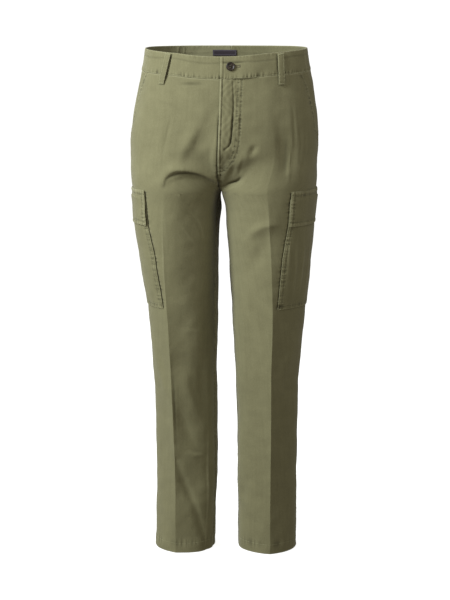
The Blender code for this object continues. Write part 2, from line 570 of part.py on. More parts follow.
def band_piece(leg, part, material):
    """One of the waistband's four pieces. The left front laps over the right front at the button."""
    level = np.linspace(WAIST_TOP, BAND_BOTTOM, BAND_ROWS + 1)
    if part == "front":
        start = place_beside(leg, level, -UNDERLAP if leg == "right" else 0.0, INNER)
        turn = place_beside(leg, level, -BAND_SEAM - SEAM_GAP)
        places = between([start, turn], (BAND_FRONT_SPAN,))
    else:
        turn = place_beside(leg, level, -BAND_SEAM + SEAM_GAP)
        places = between([turn, np.full_like(level, INNER_BACK)], (BAND_BACK_SPAN,))
    rows = np.repeat(level[:, None], places.shape[1], 1)
    out = BAND_PROUD
    if (leg, part) == ("left", "front"):
        across = np.abs(bare_point(leg, rows, places)[..., 0] - read_table(SWAY, rows)[0])
        out = out + OVERLAP_RISE * (1.0 - smooth((across - OVERLAP_FLAT) / OVERLAP_FADE))
    return wall(f"waistband_{leg}_{part}", cloth_point(leg, rows, places, out),
                cloth_point(leg, rows, places, out - BAND_WALL), material)


def belt_loop(name, leg, place_at_top, place_at_bottom, material):
    """A strip sewn down at both ends, bowed out to let a belt through."""
    down = np.linspace(0.0, 1.0, LOOP_STEPS)
    level = LOOP_TOP + (LOOP_BOTTOM - LOOP_TOP) * down
    middle = place_at_top + (place_at_bottom - place_at_top) * down
    edges = [place_beside(leg, level, side * LOOP_WIDTH / 2, middle) for side in (-1, 1)]
    rows = np.repeat(level[:, None], 2, 1)
    places = np.stack(edges, -1)
    under = BAND_PROUD * smooth((level - LOOP_BOTTOM) / (BAND_BOTTOM - LOOP_BOTTOM))
    bow = (under + LOOP_SEAT + LOOP_GAP * (1.0 - np.abs(2 * down - 1)**LOOP_FLATNESS))[:, None]
    return wall(name, cloth_point(leg, rows, places, bow + LOOP_WALL),
                cloth_point(leg, rows, places, bow), material)


def label(material):
    """A bare woven label inside the back of the waistband."""
    level = np.linspace(LABEL_TOP, LABEL_BOTTOM, 3)
    share = np.linspace(-0.5, 0.5, 5)
    columns = [place_beside("left", level, LABEL_SHIFT + LABEL_WIDTH * s, INNER_BACK) for s in share]
    places = np.stack(columns, -1)
    rows = np.repeat(level[:, None], len(share), 1)
    out = BAND_PROUD - BAND_WALL - LABEL_GAP
    return wall("inside_label", cloth_point("left", rows, places, out),
                cloth_point("left", rows, places, out - LABEL_WALL), material)


def button(material):
    """A turned button with a raised rim, on the overlapping end of the waistband."""
    level = np.array([BUTTON_LEVEL])
    place = place_beside("left", level, BUTTON_FROM_FRONT, INNER)
    out = BAND_PROUD + OVERLAP_RISE + BUTTON_GAP
    centre, axis = cloth_point("left", level, place, out)[0], cloth_normal("left", level, place)[0]
    along = np.cross((0.0, 0.0, 1.0), axis)
    along /= np.linalg.norm(along)
    upward = np.cross(axis, along)
    shape = bmesh.new()
    rings = []
    for radius, height in BUTTON_PROFILE[:-1]:
        turns = [2 * math.pi * k / BUTTON_SIDES for k in range(BUTTON_SIDES)]
        rings.append([shape.verts.new(centre + axis * height + radius * (math.cos(a) * along
                      + math.sin(a) * upward)) for a in turns])
    for lower, higher in zip(rings, rings[1:]):
        for k in range(BUTTON_SIDES):
            after = (k + 1) % BUTTON_SIDES
            shape.faces.new((lower[k], lower[after], higher[after], higher[k]))
    shape.faces.new(rings[0])
    top = shape.verts.new(centre + axis * BUTTON_PROFILE[-1][1])
    for k in range(BUTTON_SIDES):
        shape.faces.new((rings[-1][k], rings[-1][(k + 1) % BUTTON_SIDES], top))
    return link("waist_button", shape, material)


def principled(name, colour, roughness):
    material = bpy.data.materials.new(name)
    material.use_nodes = True
    shader = material.node_tree.nodes["Principled BSDF"]
    shader.inputs["Base Color"].default_value = (*colour, 1.0)
    shader.inputs["Roughness"].default_value = roughness
    return material


def build():
    for thing in list(bpy.data.objects):
        bpy.data.objects.remove(thing, do_unlink=True)
    twill, horn, tape = (principled(*row) for row in COLOURS)
    level = panel_levels()
    for leg in ("left", "right"):
        panel(leg, "front", level, twill)
        panel(leg, "back", level, twill)
        pocket_facing(leg, level, twill)
        cargo_pocket(leg, level, twill)
        cargo_flap(leg, level, twill)
        band_piece(leg, "front", twill)
        band_piece(leg, "back", twill)
    for row in LOOPS:
        belt_loop(*row, twill)
    button(horn)
    label(tape)


build()
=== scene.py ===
import math
from collections import namedtuple

import bpy
import numpy as np
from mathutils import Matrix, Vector, bvhtree, noise


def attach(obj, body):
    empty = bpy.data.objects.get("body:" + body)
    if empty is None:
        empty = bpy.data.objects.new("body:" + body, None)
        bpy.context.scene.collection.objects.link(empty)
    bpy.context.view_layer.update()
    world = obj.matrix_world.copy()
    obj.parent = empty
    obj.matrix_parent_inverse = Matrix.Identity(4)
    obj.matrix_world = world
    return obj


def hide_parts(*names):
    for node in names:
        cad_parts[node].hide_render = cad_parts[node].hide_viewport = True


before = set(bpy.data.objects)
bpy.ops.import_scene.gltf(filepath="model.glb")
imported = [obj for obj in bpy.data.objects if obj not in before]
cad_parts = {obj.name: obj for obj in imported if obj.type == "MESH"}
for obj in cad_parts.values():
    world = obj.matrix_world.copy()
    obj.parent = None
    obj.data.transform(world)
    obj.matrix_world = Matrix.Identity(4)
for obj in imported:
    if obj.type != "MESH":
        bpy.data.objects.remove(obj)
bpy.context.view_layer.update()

# ---------------------------------------------------------------- the garment's own sizes, in metres
# +X is the wearer's left, -Y the front, +Z up. The origin is the middle of the waist opening.
WALL = 0.0015            # twill cloth
SEAM_GAP = 0.0002        # half of the gap between two panels at a seam
WAIST_TOP = 0.024
HIP_LEVEL = -0.165
FORK_LEVEL = -0.260
HEM_LEVEL = -1.030
HEM_DEPTH = 0.023
WAIST_DIP = 0.0225
WAIST_DIP_SIDE = 0.004
WAIST_DIP_END = -0.140
WAIST_DIP_POWER = 2.5
BAND_RISE = 0.0032
CROTCH_SOFTNESS, CROTCH_REACH = 0.50, 0.25

# level, half width, front, back, front crease, back crease
SEAT = (
    (0.024, 0.163, 0.102, 0.102, 0.31, 0.35),
    (-0.020, 0.1705, 0.109, 0.109, 0.31, 0.35),
    (-0.060, 0.1785, 0.114, 0.119, 0.31, 0.35),
    (-0.110, 0.187, 0.118, 0.130, 0.32, 0.35),
    (-0.155, 0.191, 0.119, 0.137, 0.34, 0.36),
    (-0.205, 0.191, 0.117, 0.136, 0.37, 0.38),
    (-0.260, 0.190, 0.112, 0.128, 0.40, 0.40),
)
# level, inner, outer, middle, front, back, turn, steep in front, steep behind
LEGS = {
    "left": (
        (-0.165, 0.0002, 0.193, 0.000, 0.118, 0.136, 1.5, 4, 4),
        (-0.260, 0.0002, 0.191, 0.004, 0.112, 0.124, 2.6, 4, 5),
        (-0.282, 0.0060, 0.188, 0.004, 0.110, 0.119, 3.1, 5, 6),
        (-0.330, 0.0080, 0.183, 0.004, 0.106, 0.110, 4.6, 6, 9),
        (-0.430, 0.0120, 0.172, 0.000, 0.098, 0.094, 7.8, 16, 16),
        (-0.530, 0.0150, 0.163, -0.004, 0.090, 0.082, 9.6, 30, 24),
        (-0.630, 0.0190, 0.151, -0.004, 0.082, 0.076, 10, 34, 28),
        (-0.750, 0.0215, 0.148, 0.004, 0.076, 0.076, 10, 36, 30),
        (-0.880, 0.0220, 0.147, 0.014, 0.070, 0.074, 10, 32, 28),
        (-1.030, 0.0235, 0.148, 0.024, 0.066, 0.070, 9, 12, 14),
    ),
    "right": (
        (-0.165, 0.0002, 0.190, 0.000, 0.118, 0.136, 4, 4, 4),
        (-0.260, 0.0002, 0.182, 0.000, 0.112, 0.124, 6.4, 3, 5),
        (-0.282, 0.0065, 0.178, 0.000, 0.110, 0.119, 7.2, 3, 6),
        (-0.330, 0.0100, 0.173, -0.004, 0.106, 0.110, 9.2, 4, 9),
        (-0.430, 0.0150, 0.163, -0.008, 0.098, 0.094, 12.6, 12, 16),
        (-0.530, 0.0170, 0.156, -0.012, 0.090, 0.082, 14, 28, 24),
        (-0.630, 0.0210, 0.153, -0.010, 0.082, 0.076, 14, 34, 28),
        (-0.750, 0.0215, 0.151, -0.002, 0.076, 0.076, 14, 36, 30),
        (-0.880, 0.0230, 0.151, 0.005, 0.070, 0.074, 13, 32, 28),
        (-1.030, 0.0280, 0.155, 0.012, 0.066, 0.070, 11, 12, 14),
    ),
}
# level, shift of the middle plane to the wearer's left
SWAY = (
    (0.024, 0.0020), (-0.060, 0.0015), (-0.155, -0.0010), (-0.260, -0.0060), (-0.400, -0.0020),
    (-0.560, 0.0030), (-1.030, 0.0040),
)
ROUND_HANDLE, SEAT_HANDLE, CREASE_HANDLE = 0.5523, 0.68, 0.56
SIDE_SIGN = {"left": 1.0, "right": -1.0}
INNER, FRONT_CREASE, SIDE, BACK_CREASE, INNER_BACK = 0.0, 1.0, 2.0, 3.0, 4.0

BAND_BOTTOM, BAND_WALL, BAND_PROUD, BAND_GAP = -0.0190, 0.0024, 0.0006, 0.0003
BAND_SEAM, UNDERLAP = 0.033, 0.036
OVERLAP_RISE = BAND_WALL + 0.0003
OVERLAP_FLAT, OVERLAP_FADE = 0.040, 0.045

LOOP_WIDTH, LOOP_WALL = 0.0125, 0.0020
LOOP_TOP, LOOP_BOTTOM = 0.0215, -0.0400
LOOP_SEAT, LOOP_GAP = 0.0004, 0.0020     # an empty loop lies nearly flat
# node, leg, place at top, place at bottom
LOOPS = (
    ("belt_loop_left_front", "left", 1.20, 1.17),
    ("belt_loop_right_front", "right", 1.12, 1.17),
    ("belt_loop_left_back", "left", 2.95, 2.95),
    ("belt_loop_right_back", "right", 2.95, 2.95),
    ("belt_loop_centre_back", "left", 4.00, 4.00),
)

BUTTON_FROM_FRONT, BUTTON_LEVEL = 0.0200, 0.0048
LABEL_WIDTH, LABEL_TOP, LABEL_BOTTOM, LABEL_WALL = 0.050, 0.0155, 0.0035, 0.0010
LABEL_SHIFT = 0.0135     # towards the wearer's right of the centre back

FLY_UNDERLAP, FLY_BOTTOM = 0.009, -0.195
FLY_RISE = WALL + 0.0003
FLY_FLAT, FLY_WIDTH = 0.012, 0.042

MOUTH_CURVE, MOUTH_TURN, MOUTH_BOTTOM = -0.134, -0.151, HIP_LEVEL
# level, how far before the side seam the front panel is cut away
MOUTH = (
    (-0.019, 0.054), (-0.045, 0.043), (-0.066, 0.037), (-0.100, 0.033), (MOUTH_CURVE, 0.026),
    (MOUTH_TURN, 0.015), (MOUTH_BOTTOM, SEAM_GAP), (-1.100, SEAM_GAP),
)
MOUTH_LAP = 0.014
FACING_BOTTOM, FACING_DROP, FACING_FADE = -0.186, WALL + 0.0009, 0.018

FLAP_TOP, POCKET_TOP, FLAP_BOTTOM, POCKET_BOTTOM = -0.255, -0.270, -0.325, -0.494
POCKET_BEHIND, POCKET_SWELL, PATCH_GAP = 0.085, 0.0035, 0.0003
# level, distance before the side seam
POCKET_EDGE = (
    (-0.019, 0.090), (-0.165, 0.100), (-0.255, 0.112), (-0.325, 0.112), (-0.390, 0.119),
    (-0.494, 0.117), (-0.600, 0.070), (-1.100, 0.055),
)

# Folds of the solids, and then finer ones. Height is out of the cloth, or into it if negative. Seen
# from outside, left and right are the widths on the two sides of someone who walks along the path.
# Start and end are the shares of the height at the two ends, and the path is (level, place).
# height, left, right, start, end, path
FOLDS = {
    "left": (
        (-0.0020, 0.012, 0.012, 0.1, 0.3, ((-0.088, 1.04), (-0.142, 1.06), (-0.202, 1.10), (-0.250, 1.17))),
        (0.0045, 0.013, 0.013, 0.2, 0.5, ((-0.160, 0.66), (-0.182, 0.50), (-0.208, 0.30), (-0.234, 0.20))),
        (-0.0045, 0.010, 0.010, 0.5, 0.1, ((-0.248, 0.24), (-0.243, 0.38), (-0.234, 0.53), (-0.216, 0.60))),
        (0.0040, 0.012, 0.012, 0.0, 0.0, ((-0.380, 0.50), (-0.340, 0.76), (-0.322, 1.00), (-0.324, 1.22))),
        (-0.0035, 0.012, 0.012, 0.1, 0.0, ((-0.430, 0.54), (-0.404, 0.72), (-0.372, 0.86), (-0.342, 0.96))),
        (0.0030, 0.015, 0.015, 0.0, 0.0, ((-0.560, 1.55), (-0.620, 1.28), (-0.690, 1.08))),
        (-0.0030, 0.014, 0.014, 0.0, 0.2, ((-0.840, 0.50), (-0.900, 0.32), (-0.970, 0.20))),
        (-0.0050, 0.015, 0.015, 0.7, 0.0, ((-0.272, 3.90), (-0.285, 3.50), (-0.305, 3.05), (-0.320, 2.70))),
        (0.0045, 0.014, 0.014, 0.5, 0.0, ((-0.300, 3.88), (-0.320, 3.45), (-0.345, 3.00))),
        (-0.0045, 0.014, 0.014, 0.0, 0.2, ((-0.510, 2.60), (-0.525, 3.00), (-0.512, 3.50))),
        (0.0045, 0.014, 0.014, 0.0, 0.2, ((-0.540, 2.55), (-0.556, 3.00), (-0.540, 3.60))),
        (-0.0040, 0.014, 0.014, 0.2, 0.0, ((-0.575, 3.70), (-0.590, 3.20), (-0.580, 2.75))),
        # the lines of the pressed creases
        (0.0010, 0.0016, 0.0016, 0.0, 0.0, ((-0.262, 1.00), (-0.330, 1.00), (-0.440, 1.00))),
        # beside the fly, and at the crotch
        (-0.0036, 0.0018, 0.0016, 0.4, 0.5, ((-0.026, 0.24), (-0.078, 0.25), (-0.122, 0.22),
                                             (-0.148, 0.20), (-0.162, 0.17), (-0.170, 0.10))),
        (0.0014, 0.0030, 0.0040, 0.0, 0.4, ((-0.060, 0.35), (-0.110, 0.33), (-0.150, 0.28))),
        (-0.0032, 0.003, 0.006, 0.3, 0.1, ((-0.250, 0.20), (-0.243, 0.38), (-0.234, 0.53), (-0.218, 0.60))),
        (-0.0022, 0.0020, 0.0020, 0.2, 0.0, ((-0.250, 0.22), (-0.242, 0.38), (-0.234, 0.53), (-0.222, 0.57))),
        (-0.0024, 0.006, 0.006, 0.0, 0.3, ((-0.190, 0.28), (-0.212, 0.33), (-0.236, 0.34))),
        (-0.0018, 0.002, 0.004, 0.0, 0.3, ((-0.174, 0.40), (-0.198, 0.45), (-0.218, 0.50))),
        (-0.0050, 0.006, 0.006, 0.1, 0.1, ((-0.158, 0.64), (-0.172, 0.56), (-0.190, 0.50))),
        # where the left thigh turns away from the front, and the fold across it
        (-0.0030, 0.026, 0.009, 0.1, 0.0, ((-0.070, 1.09), (-0.132, 1.09), (-0.192, 1.13), (-0.250, 1.24))),
        (0.0018, 0.007, 0.0026, 0.2, 0.0, ((-0.380, 0.50), (-0.352, 0.67), (-0.334, 0.81), (-0.324, 0.94),
                                           (-0.322, 1.08), (-0.324, 1.22))),
        # thin pulls down the left hip
        (0.0018, 0.003, 0.003, 0.0, 0.0, ((-0.048, 1.24), (-0.100, 1.24), (-0.134, 1.23), (-0.200, 1.24))),
        (0.0020, 0.003, 0.003, 0.0, 0.0, ((-0.062, 1.34), (-0.134, 1.31), (-0.200, 1.32), (-0.250, 1.34))),
        (0.0018, 0.003, 0.003, 0.0, 0.0, ((-0.104, 1.43), (-0.194, 1.38), (-0.252, 1.40))),
        (-0.0016, 0.003, 0.003, 0.0, 0.0, ((-0.112, 1.15), (-0.192, 1.16), (-0.250, 1.24))),
        (0.0014, 0.002, 0.002, 0.0, 0.0, ((-0.130, 1.50), (-0.190, 1.47), (-0.246, 1.48))),
        (0.0014, 0.002, 0.002, 0.0, 0.0, ((-0.160, 1.20), (-0.215, 1.22), (-0.252, 1.29))),
        # and down the left cargo pocket
        (0.0014, 0.002, 0.003, 0.1, 0.1, ((-0.334, 1.30), (-0.400, 1.27), (-0.486, 1.22))),
        (0.0016, 0.002, 0.003, 0.1, 0.1, ((-0.334, 1.42), (-0.410, 1.40), (-0.486, 1.35))),
        (0.0016, 0.003, 0.003, 0.1, 0.1, ((-0.334, 1.55), (-0.410, 1.54), (-0.486, 1.49))),
        (0.0014, 0.003, 0.003, 0.1, 0.1, ((-0.334, 1.72), (-0.420, 1.70), (-0.486, 1.64))),
    ),
    "right": (
        (0.0060, 0.008, 0.014, 0.8, 0.2, ((-0.234, 0.10), (-0.213, 0.50), (-0.214, 0.84), (-0.234, 1.04))),
        (-0.0038, 0.028, 0.009, 0.6, 0.1, ((-0.254, 0.15), (-0.233, 0.55), (-0.236, 0.85), (-0.258, 1.02))),
        (-0.0044, 0.020, 0.011, 0.1, 0.3, ((-0.094, 0.08), (-0.132, 0.24), (-0.168, 0.38), (-0.198, 0.55))),
        (0.0035, 0.014, 0.014, 0.0, 0.4, ((-0.110, 0.26), (-0.150, 0.42), (-0.190, 0.62))),
        (-0.0030, 0.020, 0.020, 0.1, 0.1, ((-0.398, 0.76), (-0.468, 0.41), (-0.550, 0.22), (-0.620, 0.50))),
        (0.0035, 0.015, 0.015, 0.0, 0.0, ((-0.540, 1.62), (-0.640, 1.25), (-0.702, 1.10))),
        (-0.0042, 0.010, 0.014, 0.2, 0.1, ((-0.700, 0.92), (-0.744, 0.80), (-0.806, 0.58))),
        (-0.0042, 0.007, 0.009, 0.5, 0.6, ((-0.822, 0.97), (-0.868, 0.85), (-0.928, 0.61), (-1.024, 0.26))),
        (0.0020, 0.020, 0.020, 0.0, 0.3, ((-0.850, 0.40), (-0.900, 0.25), (-0.960, 0.12))),
        (-0.0050, 0.015, 0.015, 0.7, 0.0, ((-0.268, 3.90), (-0.290, 3.45), (-0.315, 3.00), (-0.322, 2.72))),
        (0.0045, 0.014, 0.014, 0.5, 0.0, ((-0.298, 3.88), (-0.326, 3.40), (-0.350, 3.05))),
        (-0.0045, 0.014, 0.014, 0.0, 0.2, ((-0.500, 2.66), (-0.518, 3.05), (-0.505, 3.50))),
        (0.0050, 0.014, 0.014, 0.0, 0.2, ((-0.532, 2.60), (-0.550, 3.05), (-0.530, 3.55))),
        (-0.0040, 0.014, 0.014, 0.1, 0.0, ((-0.566, 3.60), (-0.584, 3.10), (-0.572, 2.80))),
        # the right thigh's overhanging fold, and the nip under it
        (0.0022, 0.003, 0.010, 0.1, 0.3, ((-0.234, 0.10), (-0.222, 0.34), (-0.213, 0.60), (-0.215, 0.82),
                                          (-0.226, 0.96), (-0.242, 1.01))),
        (-0.0022, 0.0034, 0.0018, 0.3, 0.3, ((-0.238, 0.11), (-0.231, 0.29), (-0.223, 0.40),
                                             (-0.218, 0.57), (-0.218, 0.68), (-0.222, 0.84),
                                             (-0.231, 0.96), (-0.248, 1.01))),
        # finer folds of the hip, thigh, knee and shin
        (-0.0034, 0.008, 0.026, 0.1, 0.5, ((-0.118, 0.06), (-0.165, 0.12), (-0.200, 0.16), (-0.230, 0.17))),
        (-0.0014, 0.003, 0.003, 0.0, 0.0, ((-0.036, 0.95), (-0.033, 0.60), (-0.030, 0.16))),
        (-0.0014, 0.005, 0.003, 0.0, 0.0, ((-0.090, 0.93), (-0.140, 0.96), (-0.200, 0.97))),
        (0.0012, 0.003, 0.004, 0.0, 0.0, ((-0.060, 1.30), (-0.075, 1.05), (-0.086, 0.80))),
        (0.0008, 0.002, 0.002, 0.0, 0.0, ((-0.262, 1.01), (-0.332, 0.96), (-0.398, 0.94))),
        (0.0010, 0.0024, 0.0024, 0.0, 0.0, ((-0.298, 0.86), (-0.344, 0.60), (-0.372, 0.42))),
        (-0.0014, 0.004, 0.002, 0.0, 0.0, ((-0.282, 0.80), (-0.304, 0.58), (-0.336, 0.40), (-0.398, 0.29))),
        (0.0040, 0.010, 0.016, 0.1, 0.1, ((-0.600, 0.62), (-0.650, 0.74), (-0.700, 0.62), (-0.760, 0.42))),
        (-0.0030, 0.014, 0.010, 0.0, 0.0, ((-0.560, 0.20), (-0.630, 0.40), (-0.700, 0.36), (-0.760, 0.20))),
        (0.0008, 0.003, 0.006, 0.0, 0.1, ((-0.540, 0.80), (-0.542, 0.60), (-0.546, 0.30))),
        (0.0018, 0.004, 0.006, 0.0, 0.0, ((-0.800, 0.80), (-0.812, 0.62), (-0.816, 0.36))),
        (0.0020, 0.002, 0.002, 0.0, 0.2, ((-0.690, 0.25), (-0.806, 0.28), (-0.920, 0.29), (-1.016, 0.29))),
        # the lines of the pressed creases
        (0.0010, 0.0016, 0.0016, 0.0, 0.0, ((-0.255, 1.00), (-0.400, 1.00), (-0.560, 1.00))),
        (-0.0012, 0.0016, 0.0030, 0.0, 0.0, ((-0.590, 0.955), (-0.700, 0.955), (-0.830, 0.955))),
        # down the right cargo pocket
        (0.0012, 0.003, 0.003, 0.1, 0.1, ((-0.334, 1.62), (-0.410, 1.52), (-0.486, 1.42))),
        (0.0012, 0.003, 0.003, 0.1, 0.1, ((-0.334, 1.84), (-0.410, 1.76), (-0.486, 1.70))),
    ),
}
FOLD_STEPS = 24
FINE_FOLD = 0.0035       # folds no wider than this also get painted light and painted shade along them
FOLD_REACH = 2.6         # a fold ends this many widths away

# size of the waves, their height
CRUMPLE = ((0.060, 0.0018), (0.019, 0.0006))

# ---------------------------------------------------------------- the cloth's surface
ROW_OVERRUN, ROW_STEPS = 0.5, 301
ROW_PLACES = np.linspace(INNER - ROW_OVERRUN, INNER_BACK + ROW_OVERRUN, ROW_STEPS)
PLACE_STEP, LEVEL_STEP = 0.03, 0.0015
RING_POINTS = 13         # of the four curves round one half
ENDS = [0, RING_POINTS - 1]


def smooth(t):
    t = np.clip(t, 0.0, 1.0)
    return t * t * (3.0 - 2.0 * t)


def read_table(table, level):
    """The table's columns after the first, at each level, on a smooth curve through its rows."""
    rows = np.array(table, float)
    depth, values = -rows[:, 0], rows[:, 1:]
    at = np.clip(-np.asarray(level, float), depth[0], depth[-1])
    span = np.clip(np.searchsorted(depth, at, side="right") - 1, 0, len(depth) - 2)
    step = np.diff(depth)
    slope = np.diff(values, axis=0) / step[:, None]
    lean = np.vstack([slope[:1], (slope[1:] * step[:-1, None] + slope[:-1] * step[1:, None])
                      / (step[1:] + step[:-1])[:, None], slope[-1:]])
    size = step[span][..., None]
    t = ((at - depth[span]) / step[span])[..., None]
    found = ((2 * t**3 - 3 * t**2 + 1) * values[span] + (t**3 - 2 * t**2 + t) * size * lean[span]
             + (3 * t**2 - 2 * t**3) * values[span + 1] + (t**3 - t**2) * size * lean[span + 1])
    return [found[..., k] for k in range(found.shape[-1])]


def read_line(table, level):
    """The table's second column at each level, on straight lines through its rows."""
    rows = np.array(table, float)
    return np.interp(-np.asarray(level, float), -rows[:, 0], rows[:, 1])


def pair(x, y):
    return np.stack(np.broadcast_arrays(x, y), -1)


def split_curve(curve, share):
    """One cubic Bezier cut in two at its parameter share."""
    p, s = curve, share[..., None]
    a, b, c = (p[k] + (p[k + 1] - p[k]) * s for k in range(3))
    d, e = a + (b - a) * s, b + (c - b) * s
    middle = d + (e - d) * s
    return [p[0], a, d, middle], [middle, e, c, p[3]]


def ring_of(curves):
    points = list(curves[0])
    for curve in curves[1:]:
        points += curve[1:]
    return np.stack(points, -2)


def seat_ring(level):
    half, front, back, crease_front, crease_back = read_table(SEAT, level)
    none = np.zeros_like(half)
    flat, deep_front, deep_back = SEAT_HANDLE * half, ROUND_HANDLE * front, ROUND_HANDLE * back
    before = [pair(none, -front), pair(flat, -front), pair(half, -deep_front), pair(half, none)]
    behind = [pair(half, none), pair(half, deep_back), pair(flat, back), pair(none, back)]
    return ring_of([*split_curve(before, crease_front), *split_curve(behind, 1.0 - crease_back)])


def leg_ring(leg, level):
    inner, outer, middle, front, back, turn, steep_front, steep_back = read_table(LEGS[leg], level)
    half, centre = (outer - inner) / 2, (outer + inner) / 2
    none = np.zeros_like(half)
    reach = CREASE_HANDLE * half
    rise_front = reach * np.tan(np.radians(steep_front))
    rise_back = reach * np.tan(np.radians(steep_back))
    deep_front, deep_back = ROUND_HANDLE * front, ROUND_HANDLE * back
    inseam, crease, side, behind = pair(-half, none), pair(none, -front), pair(half, none), pair(none, back)
    curves = [
        [inseam, pair(-half, -deep_front), pair(-reach, rise_front - front), crease],
        [crease, pair(reach, rise_front - front), pair(half, -deep_front), side],
        [side, pair(half, deep_back), pair(reach, back - rise_back), behind],
        [behind, pair(-reach, back - rise_back), pair(-half, deep_back), inseam],
    ]
    ring = ring_of(curves)
    angle = np.radians(turn)[..., None]
    x = ring[..., 0] * np.cos(angle) - ring[..., 1] * np.sin(angle) + centre[..., None]
    y = ring[..., 0] * np.sin(angle) + ring[..., 1] * np.cos(angle) + middle[..., None]
    return pair(x, y)


def cloth_ring(leg, level):
    """The half's outline at each level, and how its two ends pull at the cloth beside them. The ends run
    down the rounded crotch curve, and the cloth beside them follows less sharply."""
    down = np.maximum((HIP_LEVEL - level) / (HIP_LEVEL - FORK_LEVEL), 0.0)
    way = np.minimum(down, 1.0)
    sharp = 1.0 - np.sqrt(1.0 - way**2)
    left = 1.0 - down**2
    soft = 1.0 - np.sqrt((left + np.hypot(left, CROTCH_SOFTNESS))
                         / (1.0 + math.hypot(1.0, CROTCH_SOFTNESS)))
    share = np.repeat(smooth(way)[..., None], RING_POINTS, -1)
    share[..., ENDS] = sharp[..., None]
    seat, thigh = seat_ring(level), leg_ring(leg, level)
    pull = (thigh - seat)[..., ENDS, :] * (soft - sharp)[..., None, None]
    return seat + (thigh - seat) * share[..., None], pull


def bare_point(leg, level, place):
    """The cloth's surface before folds. place runs 0 centre front or inseam, 1 front crease, 2 side seam,
    3 back crease, 4 centre back or inseam; past either end it goes on over the other half."""
    level, place = np.asarray(level, float), np.asarray(place, float)
    shape = np.broadcast_shapes(level.shape, place.shape)
    place = np.broadcast_to(place, shape)
    crossed = (place < INNER) | (place > INNER_BACK)
    place = np.where(place > INNER_BACK, 2 * INNER_BACK - place, np.abs(place))
    ring, pull = cloth_ring(leg, level)
    ring = np.broadcast_to(ring, (*shape, RING_POINTS, 2))
    pull = np.broadcast_to(pull, (*shape, 2, 2))
    part = np.clip(np.floor(place), 0, 3).astype(int)
    t = (place - part)[..., None]
    at = (3 * part)[..., None, None].repeat(2, -1)
    first, second, third, fourth = (np.take_along_axis(ring, at + k, -2)[..., 0, :] for k in range(4))
    flat = (1 - t)**3 * first + 3 * t * (1 - t)**2 * second + 3 * t**2 * (1 - t) * third + t**3 * fourth
    near = np.minimum(place, INNER_BACK - place)[..., None]
    pulled = np.where(place[..., None] < SIDE, pull[..., 0, :], pull[..., 1, :])
    flat = flat + pulled * np.maximum(1.0 - near, 0.0)**3 * smooth(near / CROTCH_REACH)
    x = np.maximum(flat[..., 0], SEAM_GAP) * SIDE_SIGN[leg] * np.where(crossed, -1.0, 1.0)
    fade = smooth((level - WAIST_DIP_END) / (WAIST_TOP - WAIST_DIP_END))
    middle = ((1 + np.cos(place * math.pi / 4)) / 2)**WAIST_DIP_POWER
    rise = BAND_RISE * smooth((level - BAND_BOTTOM) / (WAIST_TOP - BAND_BOTTOM))
    height = level + fade * (WAIST_DIP_SIDE - WAIST_DIP * middle) + rise * middle
    return np.stack([x + read_table(SWAY, level)[0], flat[..., 1], height], -1)


def cloth_normal(leg, level, place):
    """The way out of the cloth, by small steps down and round it."""
    level, place = np.asarray(level, float), np.asarray(place, float)
    closed = level <= FORK_LEVEL
    ahead, before = (np.where(closed, p % INNER_BACK, p) for p in (place + PLACE_STEP, place - PLACE_STEP))
    across = bare_point(leg, level, ahead) - bare_point(leg, level, before)
    upward = bare_point(leg, level + LEVEL_STEP, place) - bare_point(leg, level - LEVEL_STEP, place)
    out = np.cross(across, upward) * SIDE_SIGN[leg]
    return out / np.linalg.norm(out, axis=-1, keepdims=True)


def through(path):
    """Levels and places on a smooth curve through a path's points."""
    knots = np.array(path, float)
    padded = np.vstack([2 * knots[0] - knots[1], knots, 2 * knots[-1] - knots[-2]])
    at = np.linspace(0, len(knots) - 1, FOLD_STEPS)
    span = np.minimum(at.astype(int), len(knots) - 2)
    t = (at - span)[:, None]
    a, b, c, d = (padded[span + k] for k in range(4))
    found = b + 0.5 * t * (c - a + t * (2 * a - 5 * b + 4 * c - d + t * (3 * (b - c) + d - a)))
    return found[:, 0], found[:, 1]


def fold_height(leg, points):
    """How far the folds lift the cloth at each bare point, and the fine ones alone."""
    flat = points.reshape(-1, 3)
    lift, fine = np.zeros(len(flat)), np.zeros(len(flat))
    for height, left, right, start, end, path in FOLDS[leg]:
        levels, places = through(path)
        line, out = bare_point(leg, levels, places), cloth_normal(leg, levels, places)
        reach = FOLD_REACH * max(left, right)
        near = np.flatnonzero(np.all((flat > line.min(0) - reach) & (flat < line.max(0) + reach), 1))
        here = flat[near]
        nearest, along, hand = np.full(len(here), np.inf), np.zeros(len(here)), np.zeros(len(here))
        for k in range(FOLD_STEPS - 1):
            step = line[k + 1] - line[k]
            t = np.clip(((here - line[k]) @ step) / (step @ step), 0.0, 1.0)
            apart = here - line[k] - t[:, None] * step
            gap = np.linalg.norm(apart, axis=-1)
            closer = gap < nearest
            along = np.where(closer, (k + t) / (FOLD_STEPS - 1), along)
            hand = np.where(closer, apart @ np.cross(out[k], step), hand)
            nearest = np.minimum(nearest, gap)
        strength = np.where(along < 0.5, start + (1 - start) * smooth(2 * along),
                            end + (1 - end) * smooth(2 - 2 * along))
        raised = height * strength * np.exp(-(nearest / np.where(hand > 0, left, right))**2)
        lift[near] += raised
        if max(left, right) <= FINE_FOLD:
            fine[near] += raised
    return lift.reshape(points.shape[:-1]), fine.reshape(points.shape[:-1])


def crumple(points):
    """Shallow uneven waves over all the cloth."""
    flat = points.reshape(-1, 3)
    lift = np.zeros(len(flat))
    for size, height in CRUMPLE:
        lift += height * np.array([noise.noise(Vector(p)) for p in flat / size])
    return lift.reshape(points.shape[:-1])


